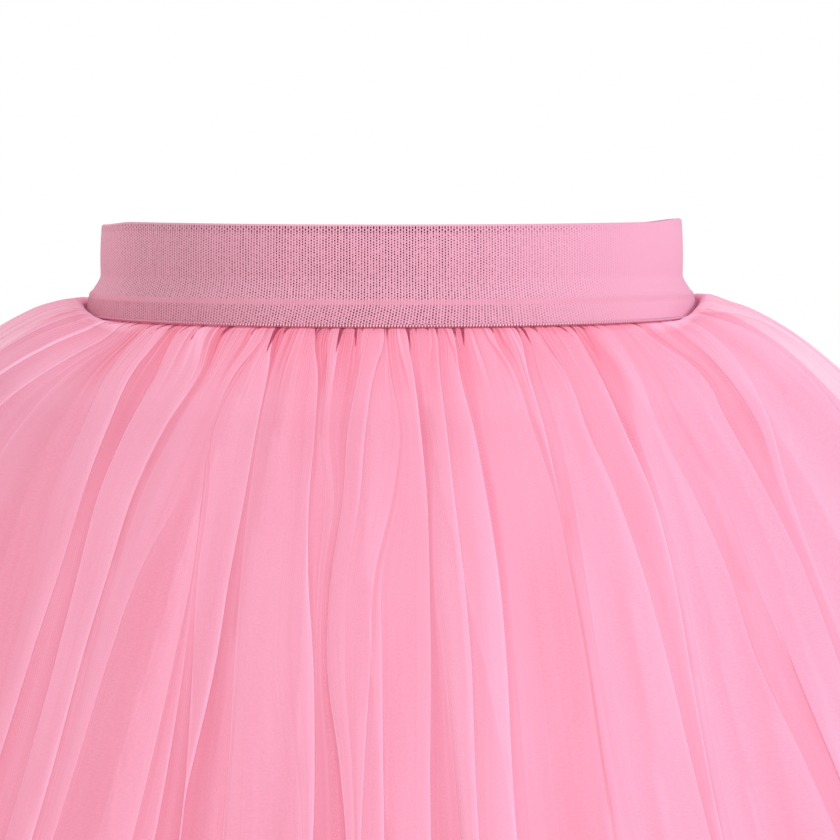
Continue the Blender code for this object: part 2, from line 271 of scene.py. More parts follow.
tulle = {
    "columnsPerFold": 18,
    "rows": 100,
    "crowding": 0.62,           # how much closer the columns stand at a fold's edges
    "sideFolds": 8,             # folds between the table below and each side seam
    "backFolds": 40,
    "overlap": 0.26,            # how far a sharp edge laps over, as a share of the fold
    "undercut": 0.14,           # how far the cloth runs back beneath it
    "softShare": 0.12,          # how much of both a soft edge has
    "sharpLine": 0.6,           # brightness of the line from which an edge is a sharp one
    "lapFrom": 0.004, "lapGrowth": 0.030,       # metres down where edges begin to lap, and how soon
    "crestAt": 0.15, "crestFade": 0.40, "valleyReach": 0.22,    # shares of the fold
    # a fold's height as a share of the depth, more for each step of its tone
    "plateau": 0.62, "platePerTone": 0.018, "leastPlate": 0.12, "valleyDrop": 0.08,
    "steep": 0.38, "slow": 0.50,                # share of the fold over which it rises: sharp, soft
    # metres: how high the gathers stand near the seam, and where down the cloth they come and go
    "gatherHeight": 0.0022, "gatherGrowth": 0.008, "gatherTo": 0.030, "gatherFade": 0.080,
    "leastGap": 0.0015,         # radians between two edges that meet
    "tableMost": 9,             # the brightest line and the lightest tone in the table
    # outside the table: shares of a fold that edges wander, their painted highlights, and painted tones
    "stray": 0.30, "sway": 0.20, "line": 0.40, "lineVaries": 0.35, "toneVaries": 3.5,
    "sideLine": 0.20, "sideToneVaries": 1.5, "leftTone": 6.0, "rightTone": 5.5, "backLeftTone": -3.5,
    # metres down that the arches of painted shade between the gathers reach
    "pit": 0.010, "pitVaries": 0.012, "tablePit": 0.004, "sidePitShare": 0.35, "sidePitFrom": 0.90,
    "halfFold": 0.52, "halfBlend": 0.12,        # share of a fold that an edge's marks reach
    "farthest": 20,             # millimetres from an edge that its marks count
    "flatPanelWidth": 1.40,
}

# painted light and shade: how much each cause lightens or deepens the net, where 1 is its palest and -1
# its deepest
tone = {
    "fold": 0.42,               # the fold's tone in the table, painted light and shade
    "foldBlend": 0.5,           # share of the fold over which it runs into the next at a soft edge
    "slope": 0.10,              # painted light towards an edge that lies on top, painted shade towards one beneath
    "slopeReach": 0.6,
    # a painted highlight along a lapping edge, and a painted shadow where another edge lies on the fold
    "crest": 0.22, "crestReach": 0.0030,
    "contact": 0.12, "contactReach": 0.0050, "leastContact": 0.08,
    "return": 0.16,             # painted shade on the cloth on its way back beneath an edge
    "returnDoubled": 0.8, "doubledTo": 0.020, "doubledFade": 0.110,
    "archWidth": 0.0021,        # half the width of the arches of painted shade at the seam
    "archShare": 0.40, "archSharpLoss": 0.7, "archPower": 1.3, "pitPower": 0.8,
}

# The front's folds: edges from left to right, as millimetres right of the centre at seven distances
# down the cloth; the side that laps over (1: the left cloth over the right); how bright the edge's
# painted highlight is and the painted light and shade of the cloth to its right, from -9 to 9, further
# down.
foldLevels = [0.012, 0.035, 0.075, 0.110, 0.150, 0.190, 0.240]
lineLevels = [0.025, 0.075, 0.150, 0.240]
toneLevels = [0.025, 0.075, 0.115, 0.160, 0.235]
frontFolds = [
    # 12    35    75   110   150   190   240 mm  laps  line 25 75 150 240   tone 25 75 115 160 235
    (-130, -149, -180, -198, -214, -228, -241,    1,   6, 5, 2, 1,    7, 3, -3, -4, -3),
    (-124, -143, -168, -184, -198, -210, -223,   -1,   2, 3, 2, 1,   -2, 0, 1, 0, 0),
    (-117, -128, -140, -150, -157, -165, -177,   -1,   2, 2, 1, 1,    4, 2, 1, 1, 0),
    (-106, -116.5, -128, -137, -146, -157, -170,    1,   3, 4, 3, 5,   -5, -7, -6, -4, -4),
    (-100, -106, -119.5, -130, -138, -146, -157,   -1,   3, 4, 5, 2,    5, 3, 3, 2, 3),
    (-82, -86, -102, -114, -124, -134, -145,      1,   3, 7, 8, 9,   -6, -3, -5, -2, -1),
    (-76, -82, -97, -110, -120.5, -130, -141,    -1,   1, 1, 0, 0,    0, 0, 1, 1, 1),
    (-59, -69.5, -81, -92, -110, -122, -135,      1,   6, 1, 2, 2,   -4, -1, -2, -3, -3),
    (-58.5, -68.5, -80.3, -83, -86.5, -93.5, -103, 1,  0, 0, 5, 9,    -2, -1, 0, -1, -3),
    (-58, -67.5, -79.6, -81.5, -85.2, -89, -95.5,  1,  0, 0, 0, 8,    -2, -1, 0, -2, -5),
    (-57.5, -66.5, -79, -80, -84, -85.3, -87,    -1,   0, 2, 4, 5,    1, 1, 2, 2, 1),
    (-54, -55.5, -60, -64, -70, -75, -84.6,       1,   7, 9, 8, 4,   -9, -2, -3, -5, -6),
    (-49, -53.5, -58.5, -62, -65, -67, -69,      -1,   2, 0, 2, 3,    1, 0, 0, 1, 2),
    (-37, -41, -43, -42, -44, -45, -39,           1,   0, 0, 0, 0,   -4, -5, -1, 1, 2),
    (-34.5, -33, -33.5, -35.5, -35.5, -33, -32,   1,   5, 5, 9, 9,   -9, -5, -2, -4, -8),
    (-28.5, -29, -31.8, -28.5, -31, -32, -31,    -1,   3, 1, 4, 0,    3, -1, -1, -5, -9),
    (-23.2, -25.2, -27.5, -24.5, -28.5, -29.5, -26, 1, 4, 0, 0, 0,    -4, -3, -1, -4, -8),
    (-13, -14.5, -19, -20.5, -25.5, -27, -21,    -1,   3, 3, 5, 7,    2, 2, 2, 1, 0),
    (-3, -7, -11, -13, -18, -19, -16,             1,   6, 7, 1, 3,   -4, 0, 1, 0, 2),
    (-1.5, 0, 4.5, 1.5, -6.5, -8, -10.5,          1,   5, 2, 5, 4,   -5, -2, 0, 2, 3),
    (-1, 0.8, 6, 4, -3, -3, -2.4,                 1,   0, 0, 2, 7,    -2, -2, -1, -1, -1),
    (8, 10.5, 14, 16.5, 17.5, 18, 18,             1,   6, 8, 8, 6,    -1, -7, -3, -2, -4),
    (18, 17, 19.5, 19.5, 19.7, 23.5, 27.8,       -1,   2, 0, 0, 1,   -5, -3, 0, 2, 4),
    (21.5, 22.5, 25.5, 28.5, 32.5, 35.5, 37,      1,   6, 8, 7, 6,    -1, -1, 1, 2, 4),
    (29.5, 31.5, 38, 43, 48, 51, 53,              1,   6, 7, 8, 6,   -5, -5, -7, -5, -3),
    (35, 38, 42, 47.5, 52, 55, 58,               -1,   1, 0, 0, 1,    -2, -1, 0, -2, -3),
    (48, 56, 64.5, 73, 79.5, 85.5, 91.6,          1,   4, 5, 4, 5,    -1, 2, 0, 0, 0),
    (60, 62.5, 69.5, 75, 81.5, 87.5, 94,          1,   6, 5, 0, 0,   -6, -4, -8, -1, 0),
    (64, 67.5, 76, 81.5, 86, 91, 99,             -1,   0, 2, 3, 0,   -3, -1, 1, 1, 0),
    (69, 79, 89, 100.5, 112, 121, 131,            1,   5, 4, 6, 7,    -2, -2, -2, 0, -1),
    (87, 94.5, 106, 116.5, 125, 130.5, 137.6,     1,   6, 9, 8, 7,   -9, -9, -2, -1, -1),
    (95, 104.5, 111.5, 119.5, 129, 135, 142,     -1,   1, 2, 1, 1,    3, 3, 3, 2, 0),
    (104, 112, 121.5, 135, 150, 160.5, 181,       1,   1, 2, 3, 4,    0, -1, -2, -4, -5),
    (111, 120, 132, 148, 160.5, 175, 193,        -1,   0, 0, 2, 4,    0, 0, -1, 0, 1),
    (120, 139.5, 155, 169, 184.5, 197, 212,       1,   4, 5, 6, 5,   -2, -4, -3, -1, 0),
    (134, 148.5, 167.5, 176, 188.5, 201, 216,    -1,   2, 2, 0, 0,    1, 1, 0, 0, 1),
    (142, 157, 173, 179.5, 190.2, 203, 218,       1,   4, 6, 4, 2,    7, 8, 6, 4, 3),
    (147, 168, 197, 215, 232, 244, 256,           1,   5, 4, 2, 1,    1, 5, 7, 7, 6),
    (150, 174, 206, 226, 243, 256, 268,          -1,   3, 2, 1, 1,    6, 7, 8, 8, 7),
]

# Pointed dark pits of painted shade under the band: millimetres right of the centre, how far down the
# cloth they reach in metres, millimetres sideways for each one down, half width in millimetres.
seamPits = [
    # at    reach  lean   half width
    (-125.0, 0.013, -1.10, 1.0), (-117.0, 0.011, -0.90, 0.9), (-108.5, 0.012, -0.80, 1.0),
    (-103.5, 0.015, -0.75, 1.1), (-99.0, 0.010, -0.65, 0.9), (-92.5, 0.013, -0.60, 1.0),
    (-86.0, 0.022, -0.45, 1.0), (-73.5, 0.013, -0.45, 2.0), (-60.5, 0.013, -0.40, 1.2),
    (-52.0, 0.034, -0.22, 1.0), (-47.0, 0.010, -0.30, 1.6), (-34.3, 0.016, 0.00, 0.9),
    (-22.3, 0.030, -0.12, 1.1), (-15.9, 0.026, 0.00, 0.8), (-7.2, 0.007, -0.15, 0.8),
    (-1.6, 0.015, 0.00, 0.8), (7.5, 0.022, 0.10, 0.9), (9.3, 0.006, 0.00, 1.2),
    (11.8, 0.011, 0.05, 0.7), (29.3, 0.014, 0.10, 0.7), (33.0, 0.022, 0.05, 1.0),
    (39.0, 0.018, 0.20, 0.5), (46.0, 0.009, 0.25, 0.8), (60.0, 0.020, 0.30, 1.0),
    (64.5, 0.011, 0.50, 0.8), (71.5, 0.012, 0.50, 0.8), (77.5, 0.015, 0.60, 1.0),
    (87.0, 0.008, 0.60, 1.4), (93.5, 0.012, 0.60, 0.8), (113.0, 0.007, 0.70, 1.6),
]


def rowPlaces(rows, length):
    # distances down the cloth, closer together near the seam
    x = np.linspace(0, 1, rows)
    return length * (cloth["rowEvenness"] * x + (1 - cloth["rowEvenness"]) * x ** cloth["rowPower"])


def foldTable():
    # Every edge between two folds, all round from the left side seam: t at each level, laps, and
    # line and tone at their levels. The front's come from the table, the others are spaced
    # unevenly with laps, lines and tones that wander in the same way: sines of the fold's number,
    # whose odd factors do no more than scatter them.
    levels = np.array([0.0] + foldLevels + [cloth["length"]])
    side = tulle["sideFolds"]
    frontCount = len(frontFolds) - 1 + 2 * side
    backCount = tulle["backFolds"]
    count = frontCount + backCount
    dense = np.linspace(-math.pi, 0.0, waist["pointsPerTurn"] // 2 + 1)
    t = np.zeros((len(levels), count + 1))
    for row, s in enumerate(levels):
        # the seam takes the first level's places and the hem the last one's
        if row <= len(foldLevels):
            at = max(row - 1, 0)
            across = ringAt(dense, foldLevels[at])[:, 0]
            placed = np.interp([fold[at] / 1000 for fold in frontFolds], across, dense)
        t[row, side:side + len(frontFolds)] = placed
        t[row, :side + 1] = evenPlaces(s, side, -math.pi, placed[0])
        t[row, frontCount - side:frontCount + 1] = evenPlaces(s, side, placed[-1], 0.0)
        t[row, frontCount:] = evenPlaces(s, backCount, 0.0, math.pi)
    hem = np.concatenate([evenPlaces(cloth["length"], frontCount, -math.pi, 0.0)[:-1],
                          evenPlaces(cloth["length"], backCount, 0.0, math.pi)])
    t[-1] += cloth["hemEvening"] * (hem - t[-1])
    number = np.arange(count + 1)
    stray = tulle["stray"] * np.sin(2.4 * number) * (1 - 0.5 * np.cos(4.1 * number))
    bends = levels[:, None] * (9 + 5 * np.sin(number))[None, :]
    sway = tulle["sway"] * np.sin(1.3 * number[None, :] + bends)
    table = slice(side, side + len(frontFolds))
    stray[table] = 0.0
    sway[:, table] = 0.0
    stray[[0, frontCount, count]] = 0.0
    sway[:, [0, frontCount, count]] = 0.0
    t += (stray + sway) * np.gradient(t, axis=1)
    laps = np.where(np.sin(1.7 * number + 0.6) > -0.45, 1, -1)
    atLines, atTones = np.array(lineLevels)[:, None], np.array(toneLevels)[:, None]
    lines = tulle["line"] + tulle["lineVaries"] * np.sin(2.9 * number[None, :] + atLines * 20)
    tones = tulle["toneVaries"] * np.sin(2.3 * number[None, :] + atTones * 14) * np.cos(1.1 * number)
    # the folds at both sides are painted paler, a painted highlight where the net is seen edge-on; the
    # last back folds at the left are deeper
    for folds, paler in ((slice(0, side), tulle["leftTone"]),
                         (slice(frontCount - side, frontCount), tulle["rightTone"]),
                         (slice(count - side // 2, count), tulle["backLeftTone"])):
        lines[:, folds] += tulle["sideLine"]
        tones[:, folds] = tulle["sideToneVaries"] * tones[:, folds] + paler
    laps[table] = [fold[7] for fold in frontFolds]
    lines[:, table] = np.array([fold[8:12] for fold in frontFolds]).T / tulle["tableMost"]
    tones[:, table] = np.array([fold[12:17] for fold in frontFolds]).T
    laps[count] = laps[0]
    # how far down the arches of painted shade reach below each edge, less at the sides
    pits = tulle["pit"] + tulle["pitVaries"] * np.sin(3.7 * number) ** 2
    pits[np.abs(np.cos(t[1])) > tulle["sidePitFrom"]] *= tulle["sidePitShare"]
    pits[table] = tulle["tablePit"] + tulle["pitVaries"] * lines[0, table]
    pits[count] = pits[0]
    lines[:, count] = lines[:, 0]
    return {"levels": levels, "t": t, "laps": laps, "lines": lines, "tones": tones, "pits": pits,
            "frontCount": frontCount, "count": count}


def betweenLevels(levels, values, s):
    # eased from level to level down the cloth through values[level, item]
    levels = np.asarray(levels)
    index = np.clip(np.searchsorted(levels, s, side="right") - 1, 0, len(levels) - 2)
    x = smoothStep((s - levels[index]) / (levels[index + 1] - levels[index]))[:, None]
    return values[index] * (1 - x) + values[index + 1] * x


def crestBump(x):
    # rises from 0 at the crease to 1 at the crest and fades across the fold
    return (smoothStep(x / tulle["crestAt"])
            * (1 - smoothStep((x - tulle["crestAt"]) / tulle["crestFade"])))


def valleyBump(x):
    # 1 at the crease, 0 a little way from it
    return 1 - smoothStep(x / tulle["valleyReach"])


def wrapped(values, combine):
    # values[row, fold] at each edge, combined from the folds on its two sides, the last edge the first
    both = combine(values, np.roll(values, 1, axis=1))
    return np.hstack([both, both[:, :1]])


def tipBeyond(width, over, under):
    # how far past its crease a lapping edge reaches, and at which share of the fold it turns: the
    # farthest of a row of places over half the fold
    x = np.linspace(0, 0.5, 41)
    reach = -x * width[:, :, None] + over[:, :, None] * crestBump(x) - under[:, :, None] * valleyBump(x)
    return reach.max(axis=2), x[reach.argmax(axis=2)]


def sharpness(lines):
    # a bright edge is a sharp one that laps well over; one without a line is a soft bend
    return tulle["softShare"] + (1 - tulle["softShare"]) * smoothStep(lines / tulle["sharpLine"])


def creases(table, s):
    # Where the creases between folds lie at rows s, so that the lapping edges' tips stand where the
    # table says: t, the widths between them, how far each edge laps over and under, its tip and turn.
    t = throughLevels(table["levels"], table["t"], s)
    gaps = tulle["leastGap"] * np.arange(t.shape[1])
    t = np.maximum.accumulate(t - gaps, axis=1) + gaps
    laps = table["laps"][None, :]
    sharp = sharpness(betweenLevels(lineLevels, table["lines"], s))
    lapping = smoothStep((s[:, None] - tulle["lapFrom"]) / tulle["lapGrowth"]) * sharp
    for turn in range(2):
        widths = np.linalg.norm(np.diff(drape(t, s, np.zeros_like(t)), axis=1), axis=2)
        narrower = wrapped(widths, np.minimum)
        if turn == 0:
            over, under = tulle["overlap"] * narrower * lapping, tulle["undercut"] * narrower * lapping
        left, right = np.hstack([widths[:, -1:], widths]), np.hstack([widths, widths[:, :1]])
        tip, turnShare = tipBeyond(np.where(laps > 0, left, right), over, under)
        if turn == 0:
            perMetre = np.gradient(t, axis=1) / ((left + right) / 2)
            t = t - laps * tip * perMetre
            t = np.maximum.accumulate(t - gaps / 2, axis=1) + gaps / 2
    return t, widths, over, under, tip, turnShare


def outerForm(table, folds, f, s):
    # t, height and marks of the outer layer at rows s, in each fold at shares f across it.
    # A fold stands at its own height and drops to a crease at both edges; next to an edge where it
    # is on top it is carried sideways over the edge, and at the edge itself it runs back beneath.
    t, widths, over, under, tip, turnShare = creases(table, s)
    down = s[:, None]
    meanFold = widths.sum(axis=1, keepdims=True) / cloth["foldCount"]
    settled = smoothStep((down - cloth["tuckLength"]) / cloth["foldGrowth"])
    gathered = (smoothStep(down / tulle["gatherGrowth"])
                * (1 - smoothStep((down - tulle["gatherTo"]) / tulle["gatherFade"])))
    depth = cloth["foldDepth"] * meanFold * settled + tulle["gatherHeight"] * gathered
    tones = betweenLevels(toneLevels, table["tones"], s)
    lines = betweenLevels(lineLevels, table["lines"], s)
    share = tulle["plateau"] + tulle["platePerTone"] * tones[:, :-1]
    plate = depth * np.clip(share, tulle["leastPlate"], 1.0)
    around = np.minimum(np.roll(plate, 1, axis=1), np.roll(plate, -1, axis=1))
    plate = np.maximum(plate, around - widths)
    drop = tulle["valleyDrop"] * np.minimum(depth, wrapped(widths, np.minimum)) * sharpness(lines)
    valley = wrapped(plate, np.minimum) - drop
    valley = np.maximum(valley, 0)
    laps = table["laps"]

    leftOver, rightOver = laps[folds][None, :] < 0, laps[folds + 1][None, :] > 0
    width = widths[:, folds]
    x0, x1 = f[None, :], 1 - f[None, :]
    overLeft, overRight = over[:, folds] * crestBump(x0), over[:, folds + 1] * crestBump(x1)
    underLeft, underRight = under[:, folds] * valleyBump(x0), under[:, folds + 1] * valleyBump(x1)
    shift = (np.where(leftOver, -overLeft + underLeft, -underLeft)
             + np.where(rightOver, overRight - underRight, underRight))
    place = x0 * width + shift                           # metres from the fold's left edge
    places = t[:, folds] + place / width * (t[:, folds + 1] - t[:, folds])
    steeper = (tulle["steep"] - tulle["slow"]) * sharpness(lines)
    rise = tulle["slow"] + steeper[:, folds] * leftOver
    fall = tulle["slow"] + steeper[:, folds + 1] * rightOver
    height = (plate[:, folds]
              - (plate[:, folds] - valley[:, folds]) * (1 - smoothStep(x0 / rise))
              - (plate[:, folds] - valley[:, folds + 1]) * (1 - smoothStep(x1 / fall)))

    # distance from each edge's tip, positive where the fold can be seen
    fromLeft = place + np.where(leftOver, tip[:, folds], -tip[:, folds])
    fromRight = width - place + np.where(rightOver, tip[:, folds + 1], -tip[:, folds + 1])
    lineLeft, lineRight = lines[:, folds], lines[:, folds + 1]
    marks = edgeMarks(folds, x0, np.where(leftOver, -fromLeft, fromLeft),
                      np.where(rightOver, -fromRight, fromRight), lineLeft, lineRight)
    edges = [
        {"share": x0, "tone": tones[:, folds - 1], "distance": fromLeft, "line": lineLeft,
         "isOver": leftOver, "turn": turnShare[:, folds], "reach": table["pits"][folds]},
        {"share": x1, "tone": tones[:, folds + 1], "distance": fromRight, "line": lineRight,
         "isOver": rightOver, "turn": turnShare[:, folds + 1], "reach": table["pits"][folds + 1]},
    ]
    marks["shade"], marks["doubled"], marks["arch"] = foldTones(down, width, tones[:, folds], edges)
    return places, height, marks


def edgeMarks(folds, x0, beyondLeft, beyondRight, lineLeft, lineRight):
    # For the nearest edges with an even and an odd number: millimetres past its tip, below 0 on the
    # cloth that lies on top, and how bright its painted highlight is. The two are kept apart so that
    # neither number jumps where it is used.
    marks = {}
    for name, parity in (("Even", 0), ("Odd", 1)):
        isLeft = (folds % 2 == parity)[None, :]
        near = smoothStep((tulle["halfFold"] - np.where(isLeft, x0, 1 - x0)) / tulle["halfBlend"])
        beyond = np.where(isLeft, beyondLeft, beyondRight) * 1000
        marks["beyond" + name] = np.clip(beyond, -tulle["farthest"], tulle["farthest"])
        marks["line" + name] = np.where(isLeft, lineLeft, lineRight) * near
    return marks


def foldTones(down, width, tones, edges):
    # How light the net is painted, how far it looks doubled, and how far down the arches of painted
    # shade between the gathers reach. The painted light and shade add up: the fold's tone, which runs
    # into its neighbour's at a soft edge, a slope from the edge beneath to the edge on top, a painted
    # highlight along a lapping edge, a painted shadow where another edge lies on the fold, and painted
    # shade on the return beneath an edge.
    shade = tones / tulle["tableMost"] * tone["fold"]
    doubled = np.clip(-tones / tulle["tableMost"], 0, 1)
    arch = np.zeros_like(shade * edges[0]["share"])
    span = np.minimum(tone["archWidth"], tone["archShare"] * width)
    for edge in edges:
        share, line, isOver = edge["share"], edge["line"], edge["isOver"]
        sharp = sharpness(line)
        blend = 1 - smoothStep(share / tone["foldBlend"])
        halfWay = tone["fold"] * (edge["tone"] - tones) / (2 * tulle["tableMost"])
        shade = shade + halfWay * (1 - sharp) * blend
        slope = 1 - smoothStep(share / tone["slopeReach"])
        shade = shade + tone["slope"] * np.where(isOver, 1, -1) * slope * sharp
        seen = np.clip(edge["distance"], 0, None)
        crest = tone["crest"] * np.exp(-seen / tone["crestReach"]) * line
        contact = tone["contact"] * np.exp(-seen / tone["contactReach"]) * (tone["leastContact"] + line)
        shade = shade + np.where(isOver, crest, -contact)
        returning = isOver & (share < edge["turn"])
        shade = shade - tone["return"] * returning * sharp
        doubled = np.maximum(doubled, tone["returnDoubled"] * returning)
        side = np.where(isOver, 1 - tone["archSharpLoss"] * sharp, 1)
        pointed = np.clip(1 - seen / span, 0, 1) ** tone["archPower"]
        arch = np.maximum(arch, side * edge["reach"] * pointed)
    doubled = doubled * (1 - smoothStep((down - tone["doubledTo"]) / tone["doubledFade"]))
    return shade, doubled, arch


def outerPanel(name, node, table, first, last):
    # one panel of the outer layer, from the table's edge first to its edge last, on the drape
    per = tulle["columnsPerFold"]
    q = np.arange((last - first) * per + 1) / per
    folds = np.minimum(first + np.floor(q).astype(int), last - 1)
    share = q + first - folds
    f = share - tulle["crowding"] * np.sin(2 * math.pi * share) / (2 * math.pi)
    s = rowPlaces(tulle["rows"], cloth["length"])
    t, height, marks = outerForm(table, folds, f, s)
    standing = puffShare(t, s[:, None])
    lift = np.where(np.cos(t) > 0, cloth["puffRight"], cloth["puffLeft"])
    points = drape(t, s, height + lift * standing)
    x, y = outwardAt(t, waist["seamHalfWidth"], waist["seamHalfDepth"])
    points[:, :, 0] -= cloth["puffInward"] * standing * x
    points[:, :, 1] -= cloth["puffInward"] * standing * y
    if name == "outerTulleFront":
        across = points[:, :, 0] * 1000
        # painted shade: the pointed pits under the band from the table
        for at, reach, lean, wide in seamPits:
            aside = np.abs(across - at - lean * s[:, None] * 1000)
            pointed = np.clip(1 - aside / wide, 0, 1) ** tone["pitPower"]
            marks["arch"] = np.maximum(marks["arch"], reach * pointed)
    marks["shade"] = np.clip(marks["shade"], *net["toneRange"])
    marks["arch"] = marks["arch"] * 1000
    marks["lie"] = lieAt(t, s)
    flat = np.linspace(0, tulle["flatPanelWidth"] * 1000, points.shape[1])
    uv = np.stack(np.broadcast_arrays(flat[None, :], -s[:, None] * 1000), axis=-1)
    piece = gridMesh(name, points, False, uv, marks)
    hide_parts(node)
    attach(piece, "root")
    return piece


hidden = {
    "middle": {"layersAbove": 1, "folds": 27, "length": 0.580, "flatWidth": 2.3},
    "inner": {"layersAbove": 2, "folds": 20, "length": 0.570, "flatWidth": 2.0},
    "columnsPerFold": 16,
    "rows": 60,
    "uneven": 0.2,              # how much shallower some folds are
    "creasesPerFold": 1.5, "creaseReach": 0.45, "creaseBlend": 0.10,
    # a painted highlight along each crease and painted shade sloping between them
    "line": 0.90, "slope": 0.60, "slopeGrowth": 0.03,
    # how far the creases wander, how often in one turn and from where, and the same down the cloth
    "wander": [(0.35, 3, 0), (0.25, 8, 1)], "sway": 0.45, "swayTurns": 5, "swayPerMetre": 6,
    # down, gap to the layer above
    "clearance": [(0.000, 0.0003), (0.002, 0.0006), (0.009, 0.0016), (0.026, 0.0030),
                  (0.115, 0.0050), (0.350, 0.0080), (0.590, 0.0100)],
    # down, depth of the folds
    "depth": [(0.000, 0.0000), (0.002, 0.0000), (0.009, 0.0008), (0.026, 0.0025), (0.115, 0.0070),
              (0.590, 0.0160)],
}


def hiddenLayer(name, node, kind):
    # Round folds, sin squared and unevenly high, hung clear below the layer above.
    layer = hidden[kind]
    folds = layer["folds"]
    phase = np.arange(folds * hidden["columnsPerFold"]) / hidden["columnsPerFold"]
    s = rowPlaces(hidden["rows"], layer["length"])
    depth = fromTable(hidden["depth"], s)[:, None]
    step = cloth["wall"] + fromTable(hidden["clearance"], s)[:, None]
    uneven = 1 - hidden["uneven"] + hidden["uneven"] * np.sin(2.1 * np.floor(phase))
    rounded = np.sin(math.pi * (phase % 1.0)) ** 2 * uneven
    above = layer["layersAbove"]
    height = -above * step - (above - 1) * depth - depth * (1 - rounded)
    around = phase / folds * 2 * math.pi
    t = np.broadcast_to(-math.pi + around, height.shape)
    points = drape(t, s, height)
    across = phase / folds * layer["flatWidth"] * 1000
    uv = np.stack(np.broadcast_arrays(across[None, :], -s[:, None] * 1000), axis=-1)

    # creases of its own, only painted: a painted highlight along each and painted shade sloping from
    # one to the next, a wandering number of them, so that they cross those of the layer above
    wandering = phase * hidden["creasesPerFold"]
    for size, turns, start in hidden["wander"]:
        wandering = wandering + size * np.sin(around * turns + start)
    bends = around * hidden["swayTurns"] + s[:, None] * hidden["swayPerMetre"]
    wandering = wandering + hidden["sway"] * np.sin(bends)
    number = np.floor(wandering + 0.5)
    fromCrease = wandering - number
    ring = np.linalg.norm(np.diff(points, axis=1, append=points[:, :1]), axis=2).sum(axis=1)
    creaseWidth = ring[:, None] / (folds * hidden["creasesPerFold"])
    settled = smoothStep(s / hidden["slopeGrowth"])[:, None]
    marks = {"shade": hidden["slope"] * (0.5 - (wandering % 1.0)) * settled}
    for mark, parity in (("Even", 0), ("Odd", 1)):
        isNear = number % 2 == parity
        near = smoothStep((hidden["creaseReach"] - np.abs(fromCrease)) / hidden["creaseBlend"]) * isNear
        marks["beyond" + mark] = np.where(isNear, fromCrease * creaseWidth * 1000, tulle["farthest"])
        marks["line" + mark] = hidden["line"] * near
    marks["doubled"] = marks["arch"] = np.zeros(height.shape)
    marks["lie"] = lieAt(t, s)
    piece = gridMesh(name, points, True, uv, marks)
    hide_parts(node)
    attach(piece, "root")
    return piece


net = {
    "toneRange": (-2.0, 1.0),   # painted shade to painted light: pit, deep, colour and pale run evenly from the first to the last
    "outer": {"pit": "#9C304F", "deep": "#F7869F", "colour": "#F6AEC9", "pale": "#F7C4DF",
              "line": "#F9D2E8", "opacity": 0.45},
    # the middle and inner layers are deeper copies of the same net, painted shade for the layers under
    # the outer one
    "middle": {"pit": "#942E4B", "deep": "#EE7B98", "colour": "#F5A0BC", "pale": "#F7BAD4",
               "line": "#F9CBE2", "opacity": 0.80},
    "inner": {"pit": "#942E4B", "deep": "#E8708C", "colour": "#EF8DAB", "pale": "#F4A2BE",
              "line": "#F9B2CC", "opacity": 1.0},
    "evenness": 0.40,           # how far the cloth is lit as if it lay smooth
    "edgeTurn": (2.4, 0.6),     # millimetres over which that is lost towards an edge's turn
    # patterns: millimetres across and down the cloth, and their detail where it isn't 2
    "grain": (1.1, 1.1),        # the net's holes are 0.8 mm, drawn coarser so that they show
    "streak": (3.5, 90, 3.0),   # faint streaks along the folds
    "mottle": (26, 260),        # lighter and deeper patches
    "gather": (9, 420, 1.0),    # fine gathers, only painted
    "grainDepth": 0.27, "streakDepth": 0.20, "mottleDepth": 0.70,
    "gatherWidth": 0.050, "gatherReach": 60, "gatherDepthAtSeam": 0.60, "gatherDepth": 0.04,
    "gatherAside": (0.06, 0.12), "gatherShareAtRight": 0.35, "gatherShareAtLeft": 0.90,
    "moire": 1.25,              # millimetres between the dots where net lies over net
    "moireSlants": [(0.80, 0.0, 0.60), (-0.50, 0.0, 0.86)], "moireBend": 14.0,
    "moirePatches": (0.46, 0.62), "moireDepth": 0.36, "moireEverywhere": 0.30,
    # millimetres inside a dark arch of painted shade, and its share of the depth there
    "pitEdge": (3.2, 0.38), "pitMiddle": (11.0, 0.62), "pitDepth": 2.1,
    # painted shade along the seam and below it: millimetres down where it starts to fade and is gone,
    # and how deep it is
    "seamLine": (0.4, 1.8, 0.7), "seamTone": (8, 55, 0.40),
    # beside the band: millimetres down, metres aside
    "crowdedDown": (4.0, 12.0), "crowdedAside": (0.11, 0.14),
    "besideBandPaintedLight": 0.8, "crowdedCover": 0.40,
    # the bright line along an edge, partly a painted highlight, in millimetres, how far it reaches its
    # own colour, and the painted shadow beside it
    "lineWidth": 0.85, "lineFull": 0.05, "lineShare": 0.66,
    "contactWidth": 0.80, "contactDepth": 0.10, "edgeAt": 0.02,
    "coverPerTone": 0.16,       # paler net hides more
    # how much more the net hides at the seam, the hem and the left: where, from, to, least, most
    "moreCover": [("down", 5, 70, 0.26, 0.0), ("down", 300, 590, 0.0, 0.30),
                  ("across", -0.05, -0.15, 0.0, 0.09)],
    "roughness": 0.9, "sheen": 0.12, "sheenRoughness": 0.6, "sheenTint": "#FFE6F2",
}


def unevenly(tree, place, across, down, detail=2.0):
    # noise with patches this many millimetres across and down
    scaled = addNode(tree, "Mapping", {"Vector": place, "Scale": (1 / across, 1 / down, 1.0)})
    inputs = {"Vector": scaled, "Scale": 1.0, "Detail": detail, "Roughness": 0.6}
    return addNode(tree, "TexNoise", inputs, noise_dimensions="2D")


def objectAcross(tree):
    # metres right of the piece's centre
    return addNode(tree, "SeparateXYZ", [addNode(tree, "TexCoord", output="Object")], "X")


